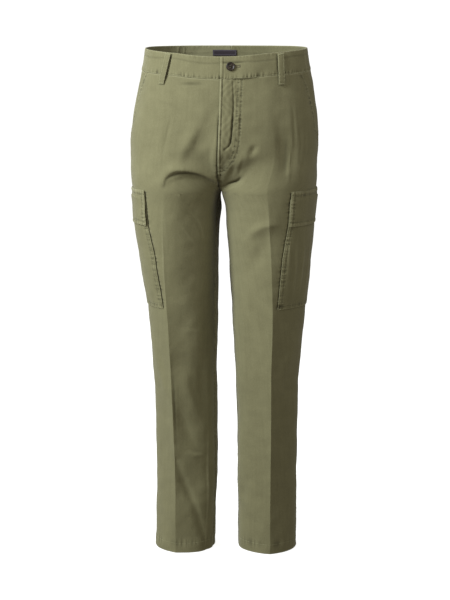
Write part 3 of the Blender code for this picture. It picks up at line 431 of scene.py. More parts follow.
def kept_apart(leg, level, place, points):
    """No point of one half passes the middle plane."""
    middle = read_table(SWAY, level)[0]
    own = SIDE_SIGN[leg] * np.where((place < INNER) | (place > INNER_BACK), -1.0, 1.0)
    points[..., 0] = middle + own * np.maximum((points[..., 0] - middle) * own, SEAM_GAP)
    return points


# ---------------------------------------------------------------- rows, columns and shells
EDGE_STEPS = (0.0, 0.00025, 0.0006, 0.0011)     # the first columns or rows beside a cut edge
EDGE_ROUND, EDGE_FULLNESS = 0.0008, 0.9
EDGE_WEAR, EDGE_WEAR_WIDTH = 0.9, 0.0016
FINE_SHADE_SHARE = 0.35        # of a fine fold's height that is painted as light and shade
RELIEF_WEAR_AND_SHADE = 0.0011     # ridges this high are quite pale, as wear and painted light, and such hollows quite dark with painted shade
SHARP = 0.0009           # from a pressed crease to the columns beside it
Grid = namedtuple("Grid", "leg level place bare normal left right top bottom")


def row_lengths(leg, level):
    """Distances round each row, at ROW_PLACES."""
    rows = bare_point(leg, level[:, None], ROW_PLACES[None, :])
    steps = np.linalg.norm(np.diff(rows, axis=1), axis=2)
    return np.concatenate([np.zeros((len(level), 1)), np.cumsum(steps, 1)], 1)


def length_at(lengths, place):
    """The distance round each row up to a place."""
    place = np.broadcast_to(place, len(lengths))
    return np.array([np.interp(p, ROW_PLACES, row) for p, row in zip(place, lengths)])


def places_at(lengths, wanted):
    """The places at distances round each row."""
    return np.array([np.interp(w, row, ROW_PLACES) for w, row in zip(wanted, lengths)])


def spread(guides, counts, crease):
    """Columns between guide lines, as distances: rows by columns. They are closer beside both cut edges,
    and beside the guide that is a pressed crease."""
    columns = []
    last = len(counts) - 1
    for k, count in enumerate(counts):
        low, high = guides[k], guides[k + 1]
        first = EDGE_STEPS if k == 0 else (0.0, SHARP) if k == crease else (0.0,)
        final = EDGE_STEPS if k == last else (0.0, SHARP) if k + 1 == crease else (0.0,)
        columns += [low + step for step in first[:-1]]
        start, stop = low + first[-1], high - final[-1]
        columns += [start + (stop - start) * n / count for n in range(count)]
        columns += [high - step for step in final[:0:-1]]
    columns.append(guides[-1])
    return np.stack(columns, 1)


def levels_between(top, bottom, spacing):
    """Rows from top to bottom, closer beside both."""
    count = max(2, round((top - bottom) / spacing))
    middle = np.linspace(top - EDGE_STEPS[-1], bottom + EDGE_STEPS[-1], count)
    return np.concatenate([top - np.array(EDGE_STEPS[:-1]), middle, bottom + np.array(EDGE_STEPS[-2::-1])])


def lay(leg, level, lengths, guides, counts, crease=None):
    """A grid of bare points with its columns between guide lines, and the distances to its four edges."""
    rows, place = level[:, None], places_at(lengths, spread(guides, counts, crease))
    bare = bare_point(leg, rows, place)
    across = np.cumsum(np.linalg.norm(np.diff(bare, axis=1, prepend=bare[:, :1]), axis=2), 1)
    down = np.cumsum(np.linalg.norm(np.diff(bare, axis=0, prepend=bare[:1]), axis=2), 0)
    return Grid(leg, rows, place, bare, cloth_normal(leg, rows, place), across, across[:, -1:] - across,
                down, down[-1:] - down)


def nearest_edge(grid):
    return np.minimum.reduce([grid.left, grid.right, grid.top, grid.bottom])


def mesh_from(name, points, faces):
    mesh = bpy.data.meshes.new(name)
    mesh.from_pydata(points.tolist(), [], faces)
    mesh.shade_smooth()
    return mesh


def linked(name, mesh, material):
    mesh.materials.append(material)
    thing = bpy.data.objects.new(name, mesh)
    bpy.context.scene.collection.objects.link(thing)
    return thing


def write(mesh, name, kind, values):
    field = "vector" if kind == "FLOAT_VECTOR" else "value"
    layer = mesh.attributes.new(name, kind, "POINT")
    layer.data.foreach_set(field, np.ascontiguousarray(values, np.float32).ravel())


def grid_faces(rows, columns, flip):
    """Quads of both sides of a wall, and round its edge."""
    index = np.arange(rows * columns).reshape(rows, columns)
    a, b, c, d = index[:-1, :-1], index[:-1, 1:], index[1:, 1:], index[1:, :-1]
    top = np.stack([a, b, c, d], -1).reshape(-1, 4)
    under = top[:, ::-1] + rows * columns
    border = np.concatenate([index[0, :-1], index[:-1, -1], index[-1, :0:-1], index[:0:-1, 0]])
    after = np.roll(border, -1)
    rim = np.stack([after, border, border + rows * columns, after + rows * columns], -1)
    faces = np.concatenate([top, under, rim])
    return faces[:, ::-1] if flip else faces


def ring_faces(index):
    """Quads between rings of points, from the points' numbers, one row for each ring."""
    after = np.roll(index, -1, 1)
    return np.stack([index[:-1], after[:-1], after[1:], index[1:]], -1).reshape(-1, 4)


def round_turns(sides):
    """Angles of points evenly round a circle."""
    return 2 * math.pi * np.arange(sides) / sides


def shell(name, grid, out, depth, relief, material, wear_and_shade=0.0, inside_wear_and_shade=0.0, crumpled=True):
    """A closed cloth wall on a grid, with its folds, and with rounded edges."""
    edge = nearest_edge(grid)
    depth = np.broadcast_to(depth, edge.shape)
    turn = 1.0 - np.clip(edge / EDGE_ROUND, 0.0, 1.0)
    rounding = EDGE_FULLNESS * depth / 2 * (1.0 - np.sqrt(1.0 - turn**2))
    folds, fine = fold_height(grid.leg, grid.bare)
    lift = folds + relief + out
    if crumpled:
        lift = lift + crumple(grid.bare)
    sides = []
    for height in (lift - rounding, lift - depth + rounding):
        points = grid.bare + height[..., None] * grid.normal
        sides.append(kept_apart(grid.leg, grid.level, grid.place, points))
    points = np.concatenate([side.reshape(-1, 3) for side in sides])
    mesh = mesh_from(name, points, grid_faces(*edge.shape, grid.leg == "left").tolist())
    weave = np.stack(np.broadcast_arrays(grid.left - grid.left[:, :1], -grid.level, 0.0), -1)
    write(mesh, "cloth", "FLOAT_VECTOR", np.concatenate([weave.reshape(-1, 3)] * 2))
    # the attribute holds wear at the cut edges, painted light on ridges, painted shade in hollows and fine
    # folds, and any painted tone passed in
    at_edge = EDGE_WEAR * bell(edge, 0.0, EDGE_WEAR_WIDTH)
    outer_wear_and_shade = at_edge + wear_and_shade + (relief + FINE_SHADE_SHARE * fine) / RELIEF_WEAR_AND_SHADE
    write(mesh, "wear_and_shade", "FLOAT", np.clip([outer_wear_and_shade, at_edge + inside_wear_and_shade], -1.0, 1.0))
    piece = linked(name, mesh, material)
    piece["cut"] = cut_of(sides[0])
    return piece


def cut_of(points):
    """Width, length and area of a grid of points laid flat."""
    across, down = np.diff(points, axis=1), np.diff(points, axis=0)
    width = np.linalg.norm(across, axis=2).sum(1).max()
    length = np.linalg.norm(down, axis=2).sum(0).max()
    first = np.cross(across[:-1], down[:, :-1])
    second = np.cross(across[1:], down[:, 1:])
    area = (np.linalg.norm(first, axis=2) + np.linalg.norm(second, axis=2)).sum() / 2
    return [float(width), float(length), float(area)]


def dress(piece, node):
    """The piece is a sheet of the cut that its points measure. It stands for a node, if one is named."""
    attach(piece, "root")
    if node:
        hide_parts(node)
    return piece


# ---------------------------------------------------------------- relief of seams and stitching
GROOVE_WIDTH, GROOVE_DEPTH = 0.0010, 0.0007
RIPPLE_HEIGHT, RIPPLE_REACH = 0.0007, 0.0055
SEAM_WIDTH, SEAM_DEPTH, SEAM_RIPPLE = 0.0022, 0.0010, 0.8 * RIPPLE_HEIGHT
ROWS_MIDDLE = 0.005      # between two rows of stitches, where puckers are strongest
PUCKER_LENGTH, PUCKER_FADING = 0.0084, 0.067
PUCKER_WANDER = ((2.1, 0.043, 1), (1.3, 0.0171, 2))     # how far, over what length, share of the seed
# seeds of the puckers: the left piece's, and the right one's
SEEDS = {
    "front": (1.0, 2.3), "back": (4.1, 5.2), "facing": (3.3, 3.3), "cargo_pocket": (6.0, 7.4),
    "cargo_flap": (8.2, 9.1), "band_front": (10.0, 11.0), "band_back": (11.0, 12.0),
}


def seed_of(part, leg):
    return SEEDS[part][leg == "right"]


def bell(distance, at, width):
    return np.exp(-((distance - at) / width)**2)


def pucker(run, seed):
    """An uneven ripple along a sewn line, from -1 to 1."""
    waves = 2 * math.pi * run
    wander = sum(far * np.sin(waves / length + share * seed) for far, length, share in PUCKER_WANDER)
    strength = 0.66 + 0.34 * np.sin(waves / PUCKER_FADING + 2.7 * seed)
    return strength * np.sin(waves / PUCKER_LENGTH + wander + seed)


def groove(distance, at, depth=GROOVE_DEPTH):
    """Cloth pulled down along a row of stitches."""
    return -depth * bell(distance, at, GROOVE_WIDTH)


def ripple(distance, run, at, seed, height=RIPPLE_HEIGHT, reach=RIPPLE_REACH):
    """Puckers beside a row of stitches."""
    return height * pucker(run, seed) * bell(distance, at, reach)


def stitched(distance, run, seed, rows, at, *size):
    """Rows of stitches, and puckers about them; size is the puckers' height and reach."""
    return sum(groove(distance, row) for row in rows) + ripple(distance, run, at, seed, *size)


def seam(distance, run, seed):
    """A plain pressed seam at a panel's edge."""
    return -SEAM_DEPTH * bell(distance, 0.0, SEAM_WIDTH) + ripple(distance, run, 0.0, seed, SEAM_RIPPLE)


# ---------------------------------------------------------------- panels
ROW_SPACING, SEAT_ROWS, CROTCH_ROWS = 0.0031, 74, 78
PANEL_TOP = BAND_BOTTOM - BAND_GAP
EDGE_BAND = 0.012        # finer columns beside seams
FLY_BAND = 0.046         # finer columns over the fly
FRONT_COLUMNS = {"left": (36, 14, 7, 5, 18, 9), "right": (9, 41, 7, 5, 18, 9)}
BACK_COLUMNS = (9, 23, 23, 9)
BEFORE_POCKET, BEHIND_POCKET = 0.004, 0.002     # guides at a cargo pocket's front edge
MOUTH_ROWS = (0.0015, 0.0078)      # the two rows of stitches at a slant pocket
RISE_ROWS = (0.0016, 0.0076)       # and those down the middle of the front and back
HEM_ROW, HEM_RIPPLE, HEM_EDGE = 0.0215, (0.0005, 0.009), 0.0012
MOUTH_RIPPLE, PATCH_RIPPLE = (0.0008, 0.006), (0.0006, 0.006)     # height and reach of puckers
LEG_SEED, POCKET_SEED = 1.7, 5.0   # added to a panel's seed
LEG_FADE, RISE_FADE, UNDERLAP_FADE, MOUTH_FADE, MOUTH_LOW = 0.01, 0.008, 0.060, 0.006, 0.004
COVER_LAP, COVER_FADE = 0.010, 0.006
PRESS_DEPTH, PRESS_AT, PRESS_WIDTH, PRESS_FADE = 0.0011, 0.0004, 0.0013, 0.004
LOOP_PRESS, LOOP_PRESS_AT, LOOP_PRESS_WIDTH, LOOP_PRESS_FADE = 0.0009, 0.0004, 0.0010, 0.002
# level, how much shade is painted on the right thigh beside its inseam
INNER_PAINTED_SHADE = ((-0.262, 0.0), (-0.300, 0.70), (-0.560, 0.62), (-0.660, 0.20), (-0.780, 0.0))
PAINTED_SHADE_WIDTH, PAINTED_LIGHT_AT, PAINTED_LIGHT_WIDTH, PAINTED_LIGHT_SHARE = 0.037, 0.074, 0.022, 0.45


def panel_levels():
    seat = np.linspace(PANEL_TOP - EDGE_STEPS[-1], HIP_LEVEL, SEAT_ROWS)
    turn = np.sin(np.linspace(0.0, math.pi / 2, CROTCH_ROWS))
    crotch = HIP_LEVEL - (HIP_LEVEL - FORK_LEVEL) * turn
    leg = levels_between(FORK_LEVEL, HEM_LEVEL, ROW_SPACING)[len(EDGE_STEPS):]
    return np.concatenate([PANEL_TOP - np.array(EDGE_STEPS[:-1]), seat, crotch[1:], leg])


def cloth_depth(level):
    """Doubled where the hem is turned up inside."""
    return WALL * (1.0 + smooth((HEM_LEVEL + HEM_DEPTH + HEM_EDGE / 2 - level) / HEM_EDGE))


def from_middle(bare, level):
    """Distances from the middle plane, which sways with the level."""
    return np.abs(bare[..., 0] - read_table(SWAY, level)[0])


def on_legs(level):
    """1 under the fork, and 0 above it."""
    return smooth((FORK_LEVEL - level) / LEG_FADE)


def hem_relief(grid, seed):
    return stitched(grid.level - HEM_LEVEL, grid.left, seed, [HEM_ROW], HEM_ROW, *HEM_RIPPLE)


def uncovered(level):
    """0 where a cargo pocket lies over the side seam."""
    return 1.0 - (smooth((FLAP_TOP + COVER_LAP - level) / COVER_FADE)
                  * smooth((level - POCKET_BOTTOM + COVER_LAP) / COVER_FADE))


def beside_pocket(distance, level, seed):
    """The panel is held down along a cargo pocket's edge, and puckers there. The distance is outwards."""
    beside = smooth((FLAP_TOP - level) / PRESS_FADE) * smooth((level - POCKET_BOTTOM) / PRESS_FADE)
    pressed = -PRESS_DEPTH * bell(distance, PRESS_AT, PRESS_WIDTH)
    # this hollow is also painted with shade, as a dark line beside the pocket
    return beside * (pressed + ripple(distance, level, 0.0, seed, *PATCH_RIPPLE) * (distance > 0))


def loop_place(top, bottom, level):
    """The place of a belt loop's middle line at a level, from its places at the top and bottom."""
    return top + (bottom - top) * np.clip((LOOP_TOP - level) / (LOOP_TOP - LOOP_BOTTOM), 0.0, 1.0)


def beside_loops(grid):
    """Cloth is pressed in a little beside the belt loops that are sewn over it."""
    found = np.zeros(grid.bare.shape[:-1])
    inside = (smooth((grid.level - LOOP_BOTTOM + LOOP_PRESS_FADE) / LOOP_PRESS_FADE)
              * smooth((LOOP_TOP - grid.level) / LOOP_PRESS_FADE))
    for _, leg, top, bottom in LOOPS:
        at = loop_place(top, bottom, grid.level[:, 0])
        rows = zip(at, grid.place, grid.left)
        middle = np.array([np.interp(p, row, run, -1.0, -1.0) for p, row, run in rows])[:, None]
        if leg == grid.leg and middle.max() >= 0.0:
            apart = np.abs(grid.left - middle) - LOOP_WIDTH / 2
            # these hollows are also painted with shade, as dark lines beside the loops
            found -= LOOP_PRESS * inside * (middle >= 0.0) * bell(apart, LOOP_PRESS_AT, LOOP_PRESS_WIDTH)
    return found


def front_painted_tone(grid):
    """Painted shade on the right thigh beside its inseam, and painted light next to that."""
    if grid.leg == "left":
        return 0.0
    painted_light = PAINTED_LIGHT_SHARE * bell(grid.left, PAINTED_LIGHT_AT, PAINTED_LIGHT_WIDTH)
    return read_line(INNER_PAINTED_SHADE, grid.level) * (painted_light - bell(grid.left, 0.0, PAINTED_SHADE_WIDTH))


def front_panel(leg, level, material):
    lengths = row_lengths(leg, level)
    lap = FLY_UNDERLAP * smooth((level - HIP_LEVEL) / UNDERLAP_FADE) * (leg == "right")
    edge = length_at(lengths, INNER) + SEAM_GAP * (level < FORK_LEVEL) - lap
    side = length_at(lengths, SIDE)
    pocket, mouth = side - read_line(POCKET_EDGE, level), side - read_line(MOUTH, level)
    guides = [edge, edge + (FLY_BAND if leg == "left" else EDGE_BAND), length_at(lengths, FRONT_CREASE),
              pocket - BEFORE_POCKET, pocket + BEHIND_POCKET, mouth - EDGE_BAND, mouth]
    grid = lay(leg, level, lengths, guides, FRONT_COLUMNS[leg], 2)
    seed = seed_of("front", leg)
    legs = on_legs(grid.level)
    rise = (1 - legs) * smooth((FLY_BOTTOM - grid.level) / RISE_FADE)
    at_mouth = smooth((grid.level - HIP_LEVEL + MOUTH_LOW) / MOUTH_FADE)
    to_pocket = grid.right - (read_line(POCKET_EDGE, grid.level) - read_line(MOUTH, grid.level))
    relief = (hem_relief(grid, seed)
              + (1 - at_mouth) * uncovered(grid.level) * seam(grid.right, grid.level, seed)
              + at_mouth * stitched(grid.right, grid.level, seed, MOUTH_ROWS, ROWS_MIDDLE, *MOUTH_RIPPLE)
              + beside_pocket(to_pocket, grid.level, seed + POCKET_SEED)
              + legs * seam(grid.left, grid.level, seed + LEG_SEED)
              + rise * stitched(grid.left, grid.level, seed, RISE_ROWS[:1], 0.003)
              + (fly_relief(grid) if leg == "left" else fly_nip(grid, lap)) + beside_loops(grid))
    out = fly_rise(grid.bare, grid.level) if leg == "left" else 0.0
    # painted shade and painted light on the right thigh
    depth, painted_tone = cloth_depth(grid.level), front_painted_tone(grid)
    piece = shell(f"{leg}_front_cloth", grid, out, depth, relief, material, painted_tone)
    return dress(piece, f"{leg}_front")


def back_panel(leg, level, material):
    lengths = row_lengths(leg, level)
    edge = length_at(lengths, INNER_BACK) - SEAM_GAP * (level < FORK_LEVEL)
    side = length_at(lengths, SIDE) + SEAM_GAP
    guides = [side, side + EDGE_BAND, length_at(lengths, BACK_CREASE), edge - EDGE_BAND, edge]
    grid = lay(leg, level, lengths, guides, BACK_COLUMNS, 2)
    seed = seed_of("back", leg)
    legs = on_legs(grid.level)
    relief = (hem_relief(grid, seed) + uncovered(grid.level) * seam(grid.left, grid.level, seed)
              + legs * seam(grid.right, grid.level, seed + LEG_SEED)
              + (1 - legs) * stitched(grid.right, grid.level, seed, RISE_ROWS, ROWS_MIDDLE))
    piece = shell(f"{leg}_back_cloth", grid, 0.0, cloth_depth(grid.level), relief, material)
    return dress(piece, f"{leg}_back")


# ---------------------------------------------------------------- fly
# level, distance of the outer row of the J from the fly's edge
FLY_LINE = (
    (-0.0193, 0.0430), (-0.068, 0.0420), (-0.140, 0.0420), (-0.160, 0.0410), (-0.176, 0.0380),
    (-0.190, 0.0320), (-0.202, 0.0240), (-0.212, 0.0150), (-0.220, 0.0050), (-0.223, 0.0010),
)
FLY_ROWS_APART, FLY_LEAN, FLY_FADE = 0.0070, 0.0020, 0.030
FLY_END, FLY_END_FADE = -0.232, 0.010      # of the relief round the J
FLY_RIPPLE, FLY_SEEDS = (0.0006, 0.003), (0.4, 1.9)      # of the outer row and the inner row
FLY_ROLL, FLY_ROLL_AT, FLY_ROLL_WIDTH = 0.0010, 0.0023, 0.0019
FLY_EDGE_ROW, FLY_EDGE_GROOVE = 0.0050, 0.0010
FLY_EDGE_RIPPLE = (0.0030, 3.0, 0.0003, 0.002)           # where, seed, height, reach
FLY_SHALLOW = 0.0003                       # uneven waves between the J and the edge
FLY_NIP, FLY_NIP_TOP, FLY_NIP_WIDTH = 0.0016, -0.085, 0.0022
FLY_NIP_FADE, FLY_NIP_END = 0.05, 0.02


def fly_rise(bare, level):
    """The left front rides over the right one between the centre and the J of stitches. The fold of its
    edge stands highest."""
    across = from_middle(bare, level)
    up = (level - FLY_BOTTOM) / FLY_FADE
    near = 1.0 - smooth((across - FLY_FLAT) / (FLY_WIDTH - FLY_FLAT))
    lean = FLY_LEAN * (1.0 - np.clip(across / FLY_WIDTH, 0.0, 1.0)) * smooth(up)
    return (FLY_RISE * near * smooth(up + 0.5) + lean) * (bare[..., 1] < 0.0)


def fly_nip(grid, lap):
    """The right front is held down beside the fly's lower end."""
    here = smooth((FLY_NIP_TOP - grid.level) / FLY_NIP_FADE) * smooth((grid.level - FORK_LEVEL) / FLY_NIP_END)
    # this hollow is also painted with shade, as a dark line beside the fly
    return -FLY_NIP * here * bell(grid.left - lap[:, None], 0.0, FLY_NIP_WIDTH)


def fly_relief(grid):
    """Grooves and puckers at the two rows of the J, and the fly's rolled edge with its own row."""
    across, level = grid.left, grid.level
    line = read_line(FLY_LINE, level)
    found = FLY_ROLL * bell(across, FLY_ROLL_AT, FLY_ROLL_WIDTH)
    found = found + groove(across, FLY_EDGE_ROW, FLY_EDGE_GROOVE) + ripple(across, level, *FLY_EDGE_RIPPLE)
    for row, seed in zip((line, line - FLY_ROWS_APART), FLY_SEEDS):
        found = found + stitched(across, level, seed, [row], row, *FLY_RIPPLE)
    shallow = np.sin(across / 0.0021 + 3 * np.sin(level / 0.013)) * np.sin(level / 0.0047)
    here = (grid.bare[..., 1] < 0.0) * smooth((level - FLY_END) / FLY_END_FADE)
    return (found + FLY_SHALLOW * shallow * (across < line)) * here


# ---------------------------------------------------------------- pockets
FACING_SPACING, FACING_START, FACING_RISE = 0.0025, 0.25, 0.05
EDGE_ROWS = (0.0018, 0.0080)               # the two rows of stitches round pockets and flaps
PATCH_COLUMNS, PATCH_SEED_STEP = (10, 74, 10), 0.9
# top, bottom, row spacing, how many edges are sewn, roll of those edges
PATCHES = {
    "cargo_pocket": (POCKET_TOP, POCKET_BOTTOM, 0.0021, 3, 0.0),
    "cargo_flap": (FLAP_TOP, FLAP_BOTTOM, 0.0018, 4, 0.0007),
}
ROLL_AT, ROLL_WIDTH = 0.0034, 0.0022
SWELL_START, SWELL_ACROSS, SWELL_DOWN, SWELL_TOP = 0.15, 0.7, 0.8, 0.001
CORNER_LIFT = {"left": 0.0012, "right": 0.0026}      # at the flap's free front corner
CORNER_TOP, CORNER_FADE, CORNER_REACH = FLAP_TOP - 0.016, 0.030, 0.10


def facing(leg, material):
    level = levels_between(PANEL_TOP, FACING_BOTTOM, FACING_SPACING)
    lengths = row_lengths(leg, level)
    side, mouth = length_at(lengths, SIDE), read_line(MOUTH, level)
    grid = lay(leg, level, lengths, [side - mouth - MOUTH_LAP, side - SEAM_GAP], (24,))
    flush = (smooth((mouth[:, None] - grid.right) / FACING_FADE - FACING_START)
             * smooth((grid.level - MOUTH_BOTTOM) / FACING_RISE))
    relief = seam(grid.right, grid.level, seed_of("facing", leg)) * flush
    piece = shell(f"{leg}_facing_cloth", grid, -FACING_DROP * (1.0 - flush), WALL, relief, material)
    return dress(piece, f"{leg}_pocket_facing")


def pocket_lift(level, share):
    """The cargo pocket's inner face: on the panel at its edges, swelling a little in the middle."""
    down = np.clip((POCKET_TOP - level) / (POCKET_TOP - POCKET_BOTTOM), 0.0, 1.0)
    share = np.clip(share, 0.0, 1.0)
    along = np.sin(math.pi * (SWELL_START + (1 - SWELL_START) * down))
    swell = (4 * share * (1 - share))**SWELL_ACROSS * along**SWELL_DOWN
    return PATCH_GAP + POCKET_SWELL * swell * smooth((POCKET_TOP + SWELL_TOP - level) / SWELL_TOP)


def patch_lift(leg, part, level, share):
    """The pocket's inner face, or its flap's, which stands off a little at its free front corner."""
    lift = pocket_lift(level, share)
    if part == "cargo_pocket":
        return lift
    down = np.clip((FLAP_TOP - level) / (FLAP_TOP - POCKET_TOP), 0.0, 1.0)
    corner = CORNER_LIFT[leg] * smooth((CORNER_TOP - level) / CORNER_FADE) * bell(share, 0.0, CORNER_REACH)
    return PATCH_GAP * (1 - down) + (lift + WALL + PATCH_GAP) * down + corner


def cargo_patch(leg, part, material):
    """A cargo pocket or its flap."""
    top, bottom, spacing, sewn_edges, roll = PATCHES[part]
    level = levels_between(top, bottom, spacing)
    lengths = row_lengths(leg, level)
    side = length_at(lengths, SIDE)
    front, behind = side - read_line(POCKET_EDGE, level), side + POCKET_BEHIND
    grid = lay(leg, level, lengths, [front, front + EDGE_BAND, behind - EDGE_BAND, behind], PATCH_COLUMNS)
    edges = (grid.left, grid.level), (grid.right, grid.level), (grid.bottom, grid.left), (grid.top, grid.left)
    relief = 0.0
    for k, (distance, run) in enumerate(edges[:sewn_edges]):
        seed = seed_of(part, leg) + k * PATCH_SEED_STEP
        relief = relief + stitched(distance, run, seed, EDGE_ROWS, ROWS_MIDDLE, *PATCH_RIPPLE)
        relief = relief + roll * bell(distance, ROLL_AT, ROLL_WIDTH)
    out = patch_lift(leg, part, grid.level, grid.left / (grid.left + grid.right)) + WALL
    piece = shell(f"{leg}_{part}_cloth", grid, out, WALL, relief, material)
    return dress(piece, f"{leg}_{part}")


# ---------------------------------------------------------------- waistband, loops, label and allowances
BAND_SPACING, BAND_COLUMNS = 0.0015, {"front": 110, "back": 130}
BAND_ROW, BAND_RIPPLE = 0.0014, (0.0008, 0.0055)     # stitches along the waistband's edges
BAND_TOP_RIPPLE, BAND_TOP_SEED = (0.0004, 0.005), 3
BAND_LEAN = 0.0018       # the overlapping end stands this much further out
# a shallow line along the waistband, under its top
LINE_DEPTH, LINE_AT, LINE_WANDER, LINE_LENGTH, LINE_WIDTH = 0.0003, 0.0125, 0.0016, 0.021, 0.0018
PULL_DEPTH, PULL_LEVEL, PULL_WIDTH = 0.0011, 0.0118, 0.0009      # by the button, across the overlap
PULL_START, PULL_STOP, PULL_FADES = 0.002, 0.052, (0.006, 0.020)
END_ROLL, END_ROLL_AT, END_ROLL_WIDTH, END_ROW, END_GROOVE = 0.0008, 0.0026, 0.0020, 0.0056, 0.0008
INSIDE_PAINTED_LIGHT = {"left": -0.25, "right": 0.6}     # painted light inside the right half, and painted shade inside the left half
LOOP_SPACING, LOOP_ROW, LOOP_GROOVE, LOOP_RIPPLE = 0.0011, 0.0022, 0.0003, (0.0002, 0.003)
LOOP_RIPPLE_AT, LOOP_SEED, LOOP_END_RISE, LOOP_END = 0.001, 7, 0.0002, 0.004
LABEL_SPACING, LABEL_GAP, BORDER_AT, BORDER_WIDTH = 0.0010, 0.0005, 0.0022, 0.0008
ALLOWANCE_WALL, ALLOWANCE_DEPTH = 0.0008, 0.0036     # its thickness, and how far inside the cloth's face
ALLOWANCE_DROP, ALLOWANCE_SPACING = 0.001, 0.004
# name, leg, seam, from the seam towards the front and towards the back, bottom
ALLOWANCES = (
    ("centre_back_allowance", "left", INNER_BACK, 0.0060, 0.0100, FORK_LEVEL + 0.010),
    ("left_side_allowance", "left", SIDE, 0.0010, 0.0100, -0.300),
    ("right_side_allowance", "right", SIDE, 0.0010, 0.0100, -0.300),
)


def band_out(leg, part, bare, level):
    """The waistband's outer face; the left front end rides over the right one."""
    if (leg, part) != ("left", "front"):
        return BAND_PROUD + np.zeros(bare.shape[:-1])
    across = from_middle(bare, level)
    lean = BAND_LEAN * (1.0 - np.clip(across / (OVERLAP_FLAT + OVERLAP_FADE), 0.0, 1.0))
    return BAND_PROUD + OVERLAP_RISE * (1.0 - smooth((across - OVERLAP_FLAT) / OVERLAP_FADE)) + lean


def overlap_relief(grid):
    """The pull of the button, and the overlapping end's rolled edge with its row."""
    pull = smooth((grid.left - PULL_START) / PULL_FADES[0]) * smooth((PULL_STOP - grid.left) / PULL_FADES[1])
    return (groove(grid.left, END_ROW, END_GROOVE) + END_ROLL * bell(grid.left, END_ROLL_AT, END_ROLL_WIDTH)
            - PULL_DEPTH * pull * bell(grid.level, PULL_LEVEL, PULL_WIDTH))


def band_piece(leg, part, material):
    level = levels_between(WAIST_TOP, BAND_BOTTOM, BAND_SPACING)
    lengths = row_lengths(leg, level)
    seam_line = length_at(lengths, SIDE) - BAND_SEAM
    if part == "front":
        guides = [length_at(lengths, INNER) - UNDERLAP * (leg == "right"), seam_line - SEAM_GAP]
    else:
        guides = [seam_line + SEAM_GAP, length_at(lengths, INNER_BACK)]
    grid = lay(leg, level, lengths, guides, (BAND_COLUMNS[part],))
    seed = seed_of("band_" + part, leg)
    line = LINE_AT + LINE_WANDER * np.sin(grid.left / LINE_LENGTH + seed)
    relief = (stitched(grid.bottom, grid.left, seed, [BAND_ROW], 0.002, *BAND_RIPPLE) + beside_loops(grid)
              - LINE_DEPTH * bell(grid.top, line, LINE_WIDTH)
              + ripple(grid.top, grid.left, 0.0, seed + BAND_TOP_SEED, *BAND_TOP_RIPPLE))
    if leg == "left":
        relief = relief + groove(grid.left if part == "front" else grid.right, BAND_ROW)
    if (leg, part) == ("left", "front"):
        relief = relief + overlap_relief(grid)
    out = band_out(leg, part, grid.bare, grid.level)
    inside = INSIDE_PAINTED_LIGHT[leg]
    piece = shell(f"waistband_{leg}_{part}_cloth", grid, out, BAND_WALL, relief, material, inside_wear_and_shade=inside)
    return dress(piece, f"waistband_{leg}_{part}")


def loop_bow(level):
    """How far a belt loop's inner face stands off, from its top to its bottom."""
    down = (LOOP_TOP - level) / (LOOP_TOP - LOOP_BOTTOM)
    under = BAND_PROUD * smooth((level - LOOP_BOTTOM) / (BAND_BOTTOM - LOOP_BOTTOM))
    return under + LOOP_SEAT + LOOP_GAP * (1.0 - np.abs(2 * down - 1)**4)


def strip(leg, level, count, guide, before, behind):
    """A grid about a line of guide places, from a distance before it to one behind it."""
    lengths = row_lengths(leg, level)
    middle = length_at(lengths, guide)
    return lay(leg, level, lengths, [middle - before, middle + behind], (count,))


def belt_loop(node, leg, top, bottom, material):
    level = levels_between(LOOP_TOP, LOOP_BOTTOM, LOOP_SPACING)
    grid = strip(leg, level, 12, loop_place(top, bottom, level), LOOP_WIDTH / 2, LOOP_WIDTH / 2)
    edge = np.minimum(grid.left, grid.right)
    relief = (groove(edge, LOOP_ROW, LOOP_GROOVE)
              + ripple(edge, grid.level, LOOP_RIPPLE_AT, top * LOOP_SEED, *LOOP_RIPPLE)
              + LOOP_END_RISE * smooth(1 - np.minimum(grid.top, grid.bottom) / LOOP_END))
    out = loop_bow(grid.level) + LOOP_WALL
    piece = shell(node + "_cloth", grid, out, LOOP_WALL, relief, material, crumpled=False)
    return dress(piece, node)


def label(material):
    """A bare woven tape; a narrow border is woven round it."""
    level = levels_between(LABEL_TOP, LABEL_BOTTOM, LABEL_SPACING)
    half = LABEL_WIDTH / 2
    grid = strip("left", level, 44, INNER_BACK, half - LABEL_SHIFT, half + LABEL_SHIFT)
    border = bell(nearest_edge(grid), BORDER_AT, BORDER_WIDTH)
    out = BAND_PROUD - BAND_WALL - LABEL_GAP
    piece = shell("inside_label_tape", grid, out, LABEL_WALL, 0.0, material, border, border, crumpled=False)
    return dress(piece, "inside_label")


def allowance(name, leg, seam_place, before, behind, bottom, material):
    """The cloth turned in at a seam and pressed to one side."""
    level = levels_between(PANEL_TOP - ALLOWANCE_DROP, bottom, ALLOWANCE_SPACING)
    grid = strip(leg, level, 8, seam_place, before, behind)
    piece = shell(name, grid, -ALLOWANCE_DEPTH, ALLOWANCE_WALL, 0.0, material)
    return dress(piece, None)


# ---------------------------------------------------------------- stitches
STITCH_PITCH, STITCH_LENGTH, STITCH_RADIUS = 0.0033, 0.0026, 0.00036
TACK_PITCH, TACK_LENGTH = 0.0007, 0.0022
DROP = 0.005             # how far from its sewn line the cloth is looked for
ASIDE = 1e-4             # how far to both sides a line's direction is measured
SEWN_STEP, FEWEST_POINTS = 0.0015, 8
STITCH_SIDES = 6
